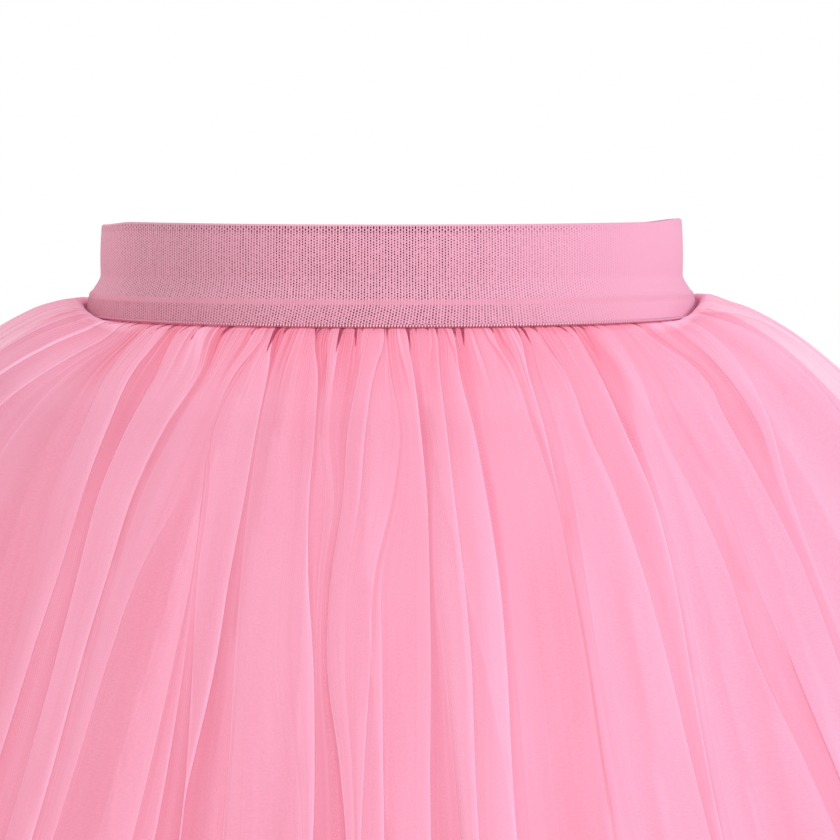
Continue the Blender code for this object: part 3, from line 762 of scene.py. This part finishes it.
def netDots(tree, doubled, patches):
    # Dots where net lies over net: the product of two sine waves slanted across each other, bent and
    # broken up by the patches
    place = addNode(tree, "TexCoord", output="Object")
    waves = []
    for slant in net["moireSlants"]:
        along = addNode(tree, "VectorMath", [place, slant], "Value", operation="DOT_PRODUCT")
        turns = addNode(tree, "Math", [along, 2 * math.pi * 1000 / net["moire"]], operation="MULTIPLY")
        bent = addNode(tree, "Math", [patches, net["moireBend"], turns], operation="MULTIPLY_ADD")
        waves.append(addNode(tree, "Math", [bent], operation="SINE"))
    dots = addNode(tree, "Math", waves, operation="MULTIPLY")
    broken = addNode(tree, "MapRange", [patches, *net["moirePatches"], 0.0, 1.0])
    shown = addNode(tree, "Math", [doubled, net["moireEverywhere"]], operation="MAXIMUM")
    dots = addNode(tree, "Math", [dots, broken], operation="MULTIPLY")
    return addNode(tree, "Math", [dots, shown], operation="MULTIPLY")


def softNylonTulle(name, colours):
    # Soft nylon tulle, a warp-knitted hexagonal net: matt, a little see-through, denser and with a
    # painted highlight where a fold's edge turns, painted shade in the creases, dotted where net lies
    # over net. The tone, painted light and shade with the net's own patterns, adds up in total and
    # picks the colour.
    material, tree, shader = newMaterial(name)
    uv = addNode(tree, "UVMap", uv_map="cut")
    up = addNode(tree, "SeparateXYZ", [uv], "Y")
    down = addNode(tree, "Math", [up, -1.0], operation="MULTIPLY")
    across = objectAcross(tree)
    aside = addNode(tree, "Math", [across], operation="ABSOLUTE")
    marks = {mark: addNode(tree, "Attribute", output="Fac", attribute_name=mark)
             for mark in ("shade", "doubled", "arch", "beyondEven", "beyondOdd", "lineEven", "lineOdd")}
    patches = unevenly(tree, uv, *net["mottle"])
    total = marks["shade"]
    for pattern, depth in ((unevenly(tree, uv, *net["grain"]), net["grainDepth"]),
                           (unevenly(tree, uv, *net["streak"]), net["streakDepth"]),
                           (patches, net["mottleDepth"])):
        centred = addNode(tree, "Math", [pattern, 0.5], operation="SUBTRACT")
        total = addNode(tree, "Math", [centred, depth, total], operation="MULTIPLY_ADD")
    dots = netDots(tree, marks["doubled"], patches)
    total = addNode(tree, "Math", [dots, net["moireDepth"], total], operation="MULTIPLY_ADD")

    # fine gathers, only painted: along each contour of stretched noise, painted shade on one side and
    # painted light on the other, weaker towards the right
    gather = unevenly(tree, uv, *net["gather"])
    turn = addNode(tree, "MapRange", [gather, 0.5 - net["gatherWidth"], 0.5 + net["gatherWidth"],
                                      -math.pi, math.pi])
    depth = addNode(tree, "MapRange", [down, 0.0, net["gatherReach"], net["gatherDepthAtSeam"],
                                       net["gatherDepth"]])
    near, far = net["gatherAside"]
    for side, share in ((1, net["gatherShareAtRight"]), (-1, net["gatherShareAtLeft"])):
        there = addNode(tree, "MapRange", [across, side * near, side * far, 1.0, share])
        depth = addNode(tree, "Math", [depth, there], operation="MULTIPLY")
    wave = addNode(tree, "Math", [turn], operation="SINE")
    total = addNode(tree, "Math", [wave, depth, total], operation="MULTIPLY_ADD")

    # painted shade: dark arches between the gathers, the shaded line along the seam, and deeper shade
    # below it
    inside = addNode(tree, "Math", [marks["arch"], down], operation="SUBTRACT")
    edge = addNode(tree, "MapRange", [inside, 0.0, net["pitEdge"][0], 0.0, net["pitEdge"][1]],
                   interpolation_type="SMOOTHSTEP")
    middle = addNode(tree, "MapRange", [inside, 0.0, net["pitMiddle"][0], 0.0, net["pitMiddle"][1]])
    pit = addNode(tree, "Math", [edge, middle], operation="ADD")
    total = addNode(tree, "Math", [pit, -net["pitDepth"], total], operation="MULTIPLY_ADD")
    for near, far, deeper in (net["seamLine"], net["seamTone"]):
        shade = addNode(tree, "MapRange", [down, near, far, deeper, 0.0])
        total = addNode(tree, "Math", [total, shade], operation="SUBTRACT")

    # beside the band the net is bunched up and hides what lies behind; it is also painted paler there,
    # painted light on the net in the band's shade
    above = addNode(tree, "MapRange", [down, *net["crowdedDown"], 1.0, 0.0])
    beside = addNode(tree, "MapRange", [aside, *net["crowdedAside"], 0.0, 1.0])
    crowdedAndPaintedLight = addNode(tree, "Math", [above, beside], operation="MULTIPLY")
    total = addNode(tree, "Math", [crowdedAndPaintedLight, net["besideBandPaintedLight"], total], operation="MULTIPLY_ADD")

    # edges: a bright line on the cloth that turns, denser there and with a painted highlight, and a
    # painted shadow on the cloth beside it
    lines, turns = [], []
    for parity in ("Even", "Odd"):
        beyond, strength = marks["beyond" + parity], marks["line" + parity]
        beneath = addNode(tree, "Math", [beyond, net["edgeAt"]], operation="GREATER_THAN")
        onTop = addNode(tree, "Math", [1.0, beneath], operation="SUBTRACT")
        bright = addNode(tree, "MapRange", [beyond, -net["lineWidth"], -net["lineFull"], 0.0,
                                            net["lineShare"]], interpolation_type="SMOOTHSTEP")
        bright = addNode(tree, "Math", [bright, onTop], operation="MULTIPLY")
        lines.append(addNode(tree, "Math", [bright, strength], operation="MULTIPLY"))
        turning = addNode(tree, "MapRange", [beyond, -net["edgeTurn"][0], -net["edgeTurn"][1], 0.0,
                                             net["evenness"]])
        turns.append(addNode(tree, "Math", [turning, onTop], operation="MULTIPLY"))
        dark = addNode(tree, "MapRange", [beyond, net["contactWidth"], 0.0, 0.0, 1.0])
        dark = addNode(tree, "Math", [dark, beneath], operation="MULTIPLY")
        dark = addNode(tree, "Math", [dark, strength], operation="MULTIPLY")
        total = addNode(tree, "Math", [dark, -net["contactDepth"], total], operation="MULTIPLY_ADD")
    line = addNode(tree, "Math", lines, operation="MAXIMUM")
    clear = addNode(tree, "Math", [1.0, pit], operation="SUBTRACT")
    line = addNode(tree, "Math", [line, clear], operation="MULTIPLY")

    # the tone picks the colour: pit and deep are painted shade, pale is painted light, and the line
    # colour is a painted highlight
    level = addNode(tree, "MapRange", [total, *net["toneRange"], 0.0, 1.0])
    ramp = addNode(tree, "ValToRGB", [level])
    stops = ramp.node.color_ramp.elements
    stops[0].color, stops[1].color = linear(colours["pit"]), linear(colours["pale"])
    stops.new(1 / 3).color = linear(colours["deep"])
    stops.new(2 / 3).color = linear(colours["colour"])
    lined = addNode(tree, "Mix", {0: line, 6: ramp, 7: linear(colours["line"])}, 2, data_type="RGBA")
    if colours["opacity"] < 1:
        cover = addNode(tree, "Math", [total, net["coverPerTone"], colours["opacity"]],
                        operation="MULTIPLY_ADD")
        cover = addNode(tree, "Math", [crowdedAndPaintedLight, net["crowdedCover"], cover], operation="MULTIPLY_ADD")
        for where, *span in net["moreCover"]:
            more = addNode(tree, "MapRange", [down if where == "down" else across, *span])
            cover = addNode(tree, "Math", [cover, more], operation="ADD")
        for dense in (line, pit):
            cover = addNode(tree, "Math", [cover, dense], operation="MAXIMUM")
        setInputs(shader, {"Alpha": addNode(tree, "MapRange", [cover, 0.0, 1.0, 0.0, 1.0])})

    # round threads scatter light the same way whichever way the net slopes
    turned = addNode(tree, "Math", turns, operation="MAXIMUM")
    evenness = addNode(tree, "Math", [net["evenness"], turned], operation="SUBTRACT")
    even = addNode(tree, "Mix", {0: evenness, 4: addNode(tree, "NewGeometry", output="Normal"),
                                 5: addNode(tree, "Attribute", output="Vector", attribute_name="lie")},
                   1, data_type="VECTOR")
    setInputs(shader, {"Base Color": lined,
                       "Normal": addNode(tree, "VectorMath", [even], operation="NORMALIZE"),
                       "Roughness": net["roughness"], "Specular IOR Level": 0.0,
                       "Sheen Weight": net["sheen"], "Sheen Roughness": net["sheenRoughness"],
                       "Sheen Tint": linear(net["sheenTint"])})
    return material


band = {
    "columns": 720,
    "outerRings": 81, "innerRings": 21,
    # how far down the face, how far the flare has gone
    "section": [(0, 0.0), (0.5, 0.03), (0.64, 0.33), (0.76, 0.68), (0.88, 0.86), (1.0, 1.0)],
    "bendShare": 0.03, "bendSteps": 7,      # share of the section over which its bends are softened
    "seamGap": 0.0003,
    # metres: the stitched ridge and the groove above it, the bulge, and the seam's uneven pull
    "ridgeLift": 0.00030, "ridgeWidth": 0.0009,
    "grooveShare": 0.5, "grooveAbove": 0.0019, "grooveWidth": 0.0008,
    "upperBulge": 0.0006, "bulgeTo": 0.6,
    "drag": 0.0022, "dragFrom": 0.72, "dragGrowth": 0.1, "topRound": 0.018,
    # how far the ribs lean to and fro under the ridge, how many millimetres under it they begin to,
    # how often in one turn and from where
    "lean": 0.22, "leanBelow": 2.4, "leanTurns": 3, "leanStart": 0.6,
    "ribPitch": 1.38,           # millimetres between ribs
    "coursePitch": 1.25,        # and between the small gaps down a rib, drawn coarser: 1.0 is real
    "columnGap": 0.22,          # how much of the gap still shows between two stitches
    "topHoles": 3.6, "topHolesFade": 0.4,   # millimetres of the top with a hole at every other rib
    # the wave down a rib is 1 at a stitch: where on it a gap and a hole begin and are full
    "gapFrom": -0.5, "holeFrom": 0.0, "gapFull": 0.6,
    # deeper left of the centre: painted shade where less lamp light falls
    "colour": "#E29EB6", "leftShadeColour": "#CF93A8", "rightColour": "#D58FA8", "lowerColour": "#C87F95",
    # painted shade inside the gaps and holes
    "gapShadeColour": "#2A0510", "holeShadeColour": "#2A0610",
    # metres right of the centre, how strongly the painted shade in the gaps between the ribs shows:
    # most in the middle, least to the right, where the lamp lights them
    "gapShadeShown": [(-0.150, 0.38), (-0.120, 0.68), (-0.085, 0.80), (-0.055, 1.02), (-0.020, 1.20),
                  (0.015, 1.20), (0.040, 0.94), (0.070, 0.54), (0.095, 0.22), (0.115, 0.04),
                  (0.150, 0.02)],
    "clearnessBehind": 0.7,
    "behindFrom": -0.04, "behindReach": 0.08,   # metres behind the middle where that takes over
    # patchiness of the gaps: millimetres across and down, least share; and the noise it spans
    "patches": [(1.7, 1.7, 0.50), (2.2, 28, 0.75)], "patchRange": (0.32, 0.60),
    "stitchingBelow": 1.1,      # millimetres from the ridge down to the stitching
    # ranges, each: from, to, least, most
    "gapWave": (0.60, -0.35, 0.0, 1.0),
    "gapsFromTop": (0.7, 1.1, 0.10, 1.0), "gapsFromStitching": (0.9, 1.6, 0.25, 1.0),
    "lowerStrip": (-0.3, -2.6, 0.0, 1.0), "lowerAcross": (-0.06, -0.13, 0.10, 0.75),
    "stitching": (1.0, 2.0, 0.35, 0.0),
    "leftAcross": (-0.045, -0.095, 0.0, 1.0), "leftEnd": (-0.138, -0.118, 0.3, 1.0),
    "rightAcross": (0.01, 0.10, 0.0, 1.0),
    "roughness": 0.85, "sheen": 0.10, "sheenTint": "#FFD6E4",
    "sinkStrength": 0.5, "sinkDepth": 0.0003,   # how deep the gaps look, in metres
}


def waistLength(t):
    # length along the waist from t = 0: running sum of short chords
    dense = np.linspace(0, 2 * math.pi, waist["pointsPerTurn"] + 1)
    x, y = waist["halfWidth"] * np.cos(dense), waist["halfDepth"] * np.sin(dense)
    return np.interp(t, dense, np.concatenate([[0], np.cumsum(np.hypot(np.diff(x), np.diff(y)))]))


def topHeight(t):
    # lower at front and back than at the sides, stretched up at the right corner, down at the left
    dip = (waist["topDip"] + waist["topDipBack"] * np.sin(t)) * np.sin(t) ** 2
    x = np.cos(t)
    corner = smoothStep((np.abs(x) - waist["topCorner"]) / (1 - waist["topCorner"]))
    pulled = np.where(x > 0, waist["topRiseRight"], -waist["topFallLeft"])
    return waist["bandHeight"] / 2 - dip + pulled * corner


def bandFace(t, v, inset):
    # One face of the band: its section carried round the waist, inset by the wall for the inner face.
    # It is straight at first, flares at the hips to the stitched ridge and falls more steeply below
    # it, where the seam drags it a little in and out. Gives points, how far down each is and how far
    # above the ridge.
    v = v[:, None]
    top = topHeight(t)
    hips = waist["bandHeight"] / 2 - waist["hipsDrop"] + 0 * t
    ridge = waist["bandHeight"] / 2 - waist["ridgeDrop"] + waist["ridgeTilt"] * np.sin(t)
    seam = seamHeight(t) + band["seamGap"]
    heights = np.stack([top, hips, (hips + ridge) / 2, ridge, (ridge + seam) / 2, seam])
    places, shares = (np.array(column) for column in zip(*band["section"]))
    i = np.clip(np.searchsorted(places, v[:, 0], side="right") - 1, 0, len(places) - 2)
    part = ((v[:, 0] - places[i]) / (places[i + 1] - places[i]))[:, None]
    z = heights[i] * (1 - part) + heights[i + 1] * part
    soft = np.linspace(-band["bendShare"], band["bendShare"], band["bendSteps"])
    flare = np.mean([np.interp(v + shift, places, shares) for shift in soft], axis=0)
    fromRidge = z - ridge
    groove = np.exp(-((fromRidge - band["grooveAbove"]) / band["grooveWidth"]) ** 2)
    raised = np.exp(-(fromRidge / band["ridgeWidth"]) ** 2) - band["grooveShare"] * groove
    lift = band["ridgeLift"] * raised
    lift = lift + band["upperBulge"] * np.sin(math.pi * np.clip(v / band["bulgeTo"], 0, 1))
    below = smoothStep((v - band["dragFrom"]) / band["dragGrowth"])
    # the sines' odd factors only scatter the pull
    drag = np.sin(t * 23 + v * 9) * np.sin(t * 5 + 1.0) * below * (1 - v)
    fromTop = np.minimum(v / band["topRound"], 1)
    rounded = 1 - np.sqrt(np.clip(1 - (1 - fromTop) ** 2, 0, 1))
    out = flare * flareAt(t) + lift + band["drag"] * drag - inset
    out = out + rounded * waist["bandWall"] / 2 * (-1 if inset == 0 else 1)
    x, y = outwardAt(t, waist["halfWidth"], waist["halfDepth"])
    points = np.stack([waist["halfWidth"] * np.cos(t) + out * x,
                       waist["halfDepth"] * np.sin(t) + out * y, z], axis=-1)
    return points, top - z, fromRidge


def knitElastic():
    # Knitted elastic, polyester over rubber: fine upright ribs with a small gap at each stitch between
    # them, staggered from rib to rib, larger holes along the top edge, and a plain strip under the
    # ridge where it is stitched through. The gaps and holes are painted dark, painted shade inside
    # them.
    material, tree, shader = newMaterial("knitElasticPolyester")
    uv = addNode(tree, "UVMap", uv_map="cut")
    around, down = (addNode(tree, "SeparateXYZ", [uv], axis) for axis in "XY")
    across = objectAcross(tree)
    fromRidge = addNode(tree, "Attribute", output="Fac", attribute_name="fromRidge")
    fromStitching = addNode(tree, "Math", [fromRidge, band["stitchingBelow"]], operation="ADD")
    fromStitching = addNode(tree, "Math", [fromStitching], operation="ABSOLUTE")
    column = addNode(tree, "Math", [around, 1 / band["ribPitch"]], operation="MULTIPLY")
    number = addNode(tree, "Math", [column], operation="FLOOR")
    stagger = addNode(tree, "Math", [number, math.pi], operation="MULTIPLY")
    turn = addNode(tree, "Math", [column, 2 * math.pi], operation="MULTIPLY")
    wave = addNode(tree, "Math", [turn], operation="COSINE")
    gap = addNode(tree, "MapRange", [wave, *band["gapWave"]])

    def stitchRow(pitch, low, least):
        # the gaps, 1 at a stitch, down every second rib half a pitch lower
        turn = addNode(tree, "Math", [down, 2 * math.pi / pitch, stagger], operation="MULTIPLY_ADD")
        wave = addNode(tree, "Math", [turn], operation="COSINE")
        row = addNode(tree, "MapRange", [wave, low, band["gapFull"], least, 1.0])
        return addNode(tree, "Math", [gap, row], operation="MULTIPLY")

    # how much the painted shade in the gaps shows: less to the right, where the lamp lights them, at
    # the top edge, by the stitching and in patches
    shown = addNode(tree, "Attribute", output="Fac", attribute_name="gapShadeShown")
    shares = [addNode(tree, "MapRange", [down, *band["gapsFromTop"]]),
              addNode(tree, "MapRange", [fromStitching, *band["gapsFromStitching"]])]
    for wide, high, least in band["patches"]:
        pattern = unevenly(tree, uv, wide, high)
        shares.append(addNode(tree, "MapRange", [pattern, *band["patchRange"], least, 1.0]))
    for share in shares:
        shown = addNode(tree, "Math", [shown, share], operation="MULTIPLY")
    gaps = stitchRow(band["coursePitch"], band["gapFrom"], band["columnGap"])
    knit = addNode(tree, "Math", [gaps, shown], operation="MULTIPLY")
    atTop = addNode(tree, "MapRange", [down, band["topHoles"] + band["topHolesFade"],
                                       band["topHoles"], 0.0, 1.0])
    holes = stitchRow(band["coursePitch"] * 2, band["holeFrom"], 0.0)
    for share in (atTop, shown):
        holes = addNode(tree, "Math", [holes, share], operation="MULTIPLY")

    # the strip below the stitching is deeper in colour, most at the left
    lower = addNode(tree, "Math", [addNode(tree, "MapRange", [fromRidge, *band["lowerStrip"]]),
                                   addNode(tree, "MapRange", [across, *band["lowerAcross"]])],
                    operation="MULTIPLY")
    stitching = addNode(tree, "MapRange", [fromStitching, *band["stitching"]])
    lower = addNode(tree, "Math", [lower, stitching], operation="MAXIMUM")
    # painted shade: deeper in colour left of the centre, where less lamp light falls, less so at the
    # very end
    left = addNode(tree, "Math", [addNode(tree, "MapRange", [across, *band["leftAcross"]]),
                                  addNode(tree, "MapRange", [across, *band["leftEnd"]])],
                   operation="MULTIPLY")
    right = addNode(tree, "MapRange", [across, *band["rightAcross"]])
    colour = linear(band["colour"])
    for share, other in ((right, "rightColour"), (left, "leftShadeColour"), (lower, "lowerColour"),
                         (knit, "gapShadeColour"), (holes, "holeShadeColour")):
        colour = addNode(tree, "Mix", {0: share, 6: colour, 7: linear(band[other])}, 2,
                         data_type="RGBA")
    sunk = addNode(tree, "Math", [knit, -1.0], operation="MULTIPLY")
    bump = addNode(tree, "Bump", {"Height": sunk, "Strength": band["sinkStrength"],
                                  "Distance": band["sinkDepth"]})
    setInputs(shader, {"Base Color": colour, "Normal": bump, "Roughness": band["roughness"],
                       "Sheen Weight": band["sheen"], "Sheen Tint": linear(band["sheenTint"])})
    return material


def knitElasticBand():
    # inner face from the seam up, over the top edge, outer face down, and back across the seam
    t = np.linspace(0, 2 * math.pi, band["columns"], endpoint=False)
    faces = [bandFace(t, np.linspace(1, 0, band["innerRings"]), waist["bandWall"]),
             bandFace(t, np.linspace(0, 1, band["outerRings"]), 0.0),
             bandFace(t, np.array([1.0]), waist["bandWall"])]
    points, down, fromRidge = (np.concatenate([face[part] for face in faces]) for part in range(3))
    below = np.clip(-fromRidge * 1000 - band["leanBelow"], 0, None)
    lean = band["lean"] * below * np.sin(t * band["leanTurns"] + band["leanStart"])
    around = waistLength(t)[None, :] * 1000 + lean
    behind = smoothStep((points[:, :, 1] - band["behindFrom"]) / band["behindReach"])
    inFront = fromTable(band["gapShadeShown"], points[:, :, 0])
    gapShadeShown = inFront * (1 - behind) + band["clearnessBehind"] * behind
    uv = np.stack([around, down * 1000], axis=-1)
    marks = {"fromRidge": fromRidge * 1000, "gapShadeShown": gapShadeShown}
    piece = gridMesh("knitElasticBand", points, True, uv, marks)
    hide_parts("waistband")
    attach(piece, "root")
    piece.data.materials.append(knitElastic())


cord = {
    "strandRadius": 0.00036, "twistRadius": 0.00034,
    "pitch": 0.0028,            # metres for one turn of the two strands
    "stepsPerTurn": 12, "sides": 6,
    # metres from the seam and from the band's edge, and how far it is drawn in at both sides, which
    # begins at this share of the half width
    "aboveSeam": 0.0009, "outside": 0.0002,
    "drawnIn": 0.0014, "drawnInFrom": 0.90, "drawnInReach": 0.10,
    "sunkFrom": 0.40, "sunkReach": 0.5,     # how high or low on its turn a strand takes painted shade
    "sidePitch": 0.3,           # millimetres of the cut for each side of a strand
    "colour": "#FBD3E0", "shadeColour": "#A34A68", "sideColour": "#D490A9",
    "fibresPerMetre": 1400.0, "fibreDepth": 0.5,
    # metres from the centre, from and to, over which it sinks into the elastic, and how far
    "sinking": (0.055, 0.115, 0.0, 0.85),
    "roughness": 0.9,
}


def twistedThread():
    # Spun polyester thread: pale, soft, with painted shade where the strands sink in against each other
    material, tree, shader = newMaterial("spunPolyesterThread")
    fibres = addNode(tree, "TexNoise", {"Vector": addNode(tree, "TexCoord", output="Object"),
                                        "Scale": cord["fibresPerMetre"]}, noise_dimensions="3D")
    level = addNode(tree, "Math", [fibres, cord["fibreDepth"], -cord["fibreDepth"] / 2],
                    operation="MULTIPLY_ADD")
    sunk = addNode(tree, "Attribute", output="Fac", attribute_name="sunk")
    level = addNode(tree, "Math", [sunk, level], operation="ADD", use_clamp=True)
    # drawn into the elastic towards both sides, it takes on its colour
    aside = addNode(tree, "Math", [objectAcross(tree)], operation="ABSOLUTE")
    sinking = addNode(tree, "MapRange", [aside, *cord["sinking"]])
    colour = linear(cord["colour"])
    for share, other in ((level, "shadeColour"), (sinking, "sideColour")):
        colour = addNode(tree, "Mix", {0: share, 6: colour, 7: linear(cord[other])}, 2,
                         data_type="RGBA")
    setInputs(shader, {"Base Color": colour, "Roughness": cord["roughness"]})
    return material


def stitchedCord():
    # Two strands twisted round each other along the band's lower edge. Each strand's middle runs
    # round a small circle as it goes along, and carries a ring of points.
    dense = np.linspace(0, 2 * math.pi, waist["pointsPerTurn"] + 1)
    x, y = outwardAt(dense, waist["halfWidth"], waist["halfDepth"])
    reach = flareAt(dense) + cord["outside"]
    path = np.stack([waist["halfWidth"] * np.cos(dense) + reach * x,
                     waist["halfDepth"] * np.sin(dense) + reach * y], axis=-1)
    along = np.concatenate([[0.0], np.cumsum(np.linalg.norm(np.diff(path, axis=0), axis=1))])
    turns = round(along[-1] / cord["pitch"])
    count = turns * cord["stepsPerTurn"]
    share = np.arange(count) / count
    t = np.interp(share * along[-1], along, dense)
    x, y = outwardAt(t, waist["halfWidth"], waist["halfDepth"])
    atSides = smoothStep((np.abs(np.cos(t)) - cord["drawnInFrom"]) / cord["drawnInReach"])
    middle = flareAt(t) + cord["outside"] - cord["drawnIn"] * atSides
    strands, sunk = [], []
    for start in (0.0, math.pi):
        turn = 2 * math.pi * turns * share + start
        ring = np.linspace(0, 2 * math.pi, cord["sides"] + 1)[:, None]
        out = middle + cord["twistRadius"] * np.cos(turn) + cord["strandRadius"] * np.sin(ring)
        z = (seamHeight(t) + cord["aboveSeam"] + cord["twistRadius"] * np.sin(turn)
             + cord["strandRadius"] * np.cos(ring))
        strands.append(np.stack([waist["halfWidth"] * np.cos(t) + out * x,
                                 waist["halfDepth"] * np.sin(t) + out * y, z], axis=-1))
        # painted shade where the strand turns in against the other
        inside = smoothStep((np.abs(np.sin(turn)) - cord["sunkFrom"]) / cord["sunkReach"])
        sunk.append(np.broadcast_to(inside, out.shape))
    points = np.concatenate(strands)
    across = np.arange(len(points))[:, None] * cord["sidePitch"]
    uv = np.stack(np.broadcast_arrays(share * along[-1] * 1000, across), axis=-1)
    piece = gridMesh("stitchedCord", points, True, uv, {"sunk": np.concatenate(sunk)},
                     gaps=[cord["sides"]])
    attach(piece, "root")
    piece.data.materials.append(twistedThread())


knitElasticBand()
stitchedCord()
print("waistband made")
folds = foldTable()
seams = (0, folds["frontCount"], folds["count"])
layers = {
    "outer": [outerPanel("outerTulleFront", "tulle_outer_front", folds, seams[0], seams[1]),
              outerPanel("outerTulleBack", "tulle_outer_back", folds, seams[1], seams[2])],
    "middle": [hiddenLayer("middleTulle", "tulle_middle", "middle")],
    "inner": [hiddenLayer("innerTulle", "tulle_inner", "inner")],
}
for kind, pieces in layers.items():
    material = softNylonTulle("softNylonTulle" + kind.capitalize(), net[kind])
    for piece in pieces:
        piece.data.materials.append(material)
print("tulle made")


studio = {
    "eyeDistance": 2.5, "eyeAcross": 0.0136, "eyeHeight": 0.024, "aimDrop": 0.0957,
    "frameWidth": 0.404, "sensorWidth": 36.0, "seeTo": 50.0,
    "floorHeight": -1.02, "floorHalf": 8, "floorColour": "#FAFAFA",
    "skyLight": 0.935,          # how strongly the white room lights the skirt; it is seen as pure white
    "seeThrough": 32,           # layers of net that one ray may pass
    "lampAim": (0, 0, -0.12),
    # name, place, metres across, watts, colour
    "lamps": [("key", (3.0, -1.5, 1.2), 1.4, 71, "#E9FAFF"),
              ("fill", (-2.0, -2.6, 1.0), 1.6, 20, "#FFE2C6")],
}


def addLamp(name, place, size, power, colour):
    # a round lamp turned towards the skirt
    data = bpy.data.lights.new(name, "AREA")
    data.shape = "DISK"
    data.size = size
    data.energy = power
    data.color = linear(colour)[:3]
    lamp = bpy.data.objects.new(name, data)
    bpy.context.scene.collection.objects.link(lamp)
    lamp.location = place
    x, y, z = np.subtract(studio["lampAim"], place)
    lamp.rotation_euler = (math.atan2(math.hypot(x, y), -z), 0.0, math.atan2(y, x) - math.pi / 2)


def setStudio():
    # a white room whose light is a little weaker than it looks, a camera level with the band, a
    # white floor and two lamps
    scene = bpy.context.scene
    scene.view_settings.view_transform = "Standard"
    scene.cycles.transparent_max_bounces = studio["seeThrough"]
    world = bpy.data.worlds.new("whiteStudio")
    scene.world = world
    world.use_nodes = True
    tree = world.node_tree
    seen = addNode(tree, "LightPath", output="Is Camera Ray")
    strength = addNode(tree, "Math", [seen, 1 - studio["skyLight"], studio["skyLight"]],
                       operation="MULTIPLY_ADD")
    setInputs(tree.nodes["Background"], {"Color": (1.0, 1.0, 1.0, 1.0), "Strength": strength})
    data = bpy.data.cameras.new("camera")
    data.sensor_width = studio["sensorWidth"]
    data.lens = studio["sensorWidth"] * studio["eyeDistance"] / studio["frameWidth"]
    data.clip_end = studio["seeTo"]
    camera = bpy.data.objects.new("camera", data)
    scene.collection.objects.link(camera)
    scene.camera = camera
    camera.location = (studio["eyeAcross"], -studio["eyeDistance"], studio["eyeHeight"])
    tilt = math.atan2(studio["aimDrop"], studio["eyeDistance"])
    camera.rotation_euler = (math.pi / 2 - tilt, 0.0, 0.0)
    floor = bpy.data.meshes.new("floor")
    half, z = studio["floorHalf"], studio["floorHeight"]
    corners = [(-half, -half, z), (half, -half, z), (half, half, z), (-half, half, z)]
    floor.from_pydata(corners, [], [(0, 1, 2, 3)])
    ground = bpy.data.objects.new("floor", floor)
    scene.collection.objects.link(ground)
    paint, _, shader = newMaterial("matWhitePaint")
    setInputs(shader, {"Base Color": linear(studio["floorColour"]), "Roughness": 1.0})
    floor.materials.append(paint)
    for lamp in studio["lamps"]:
        addLamp(*lamp)


setStudio()
print("studio made")
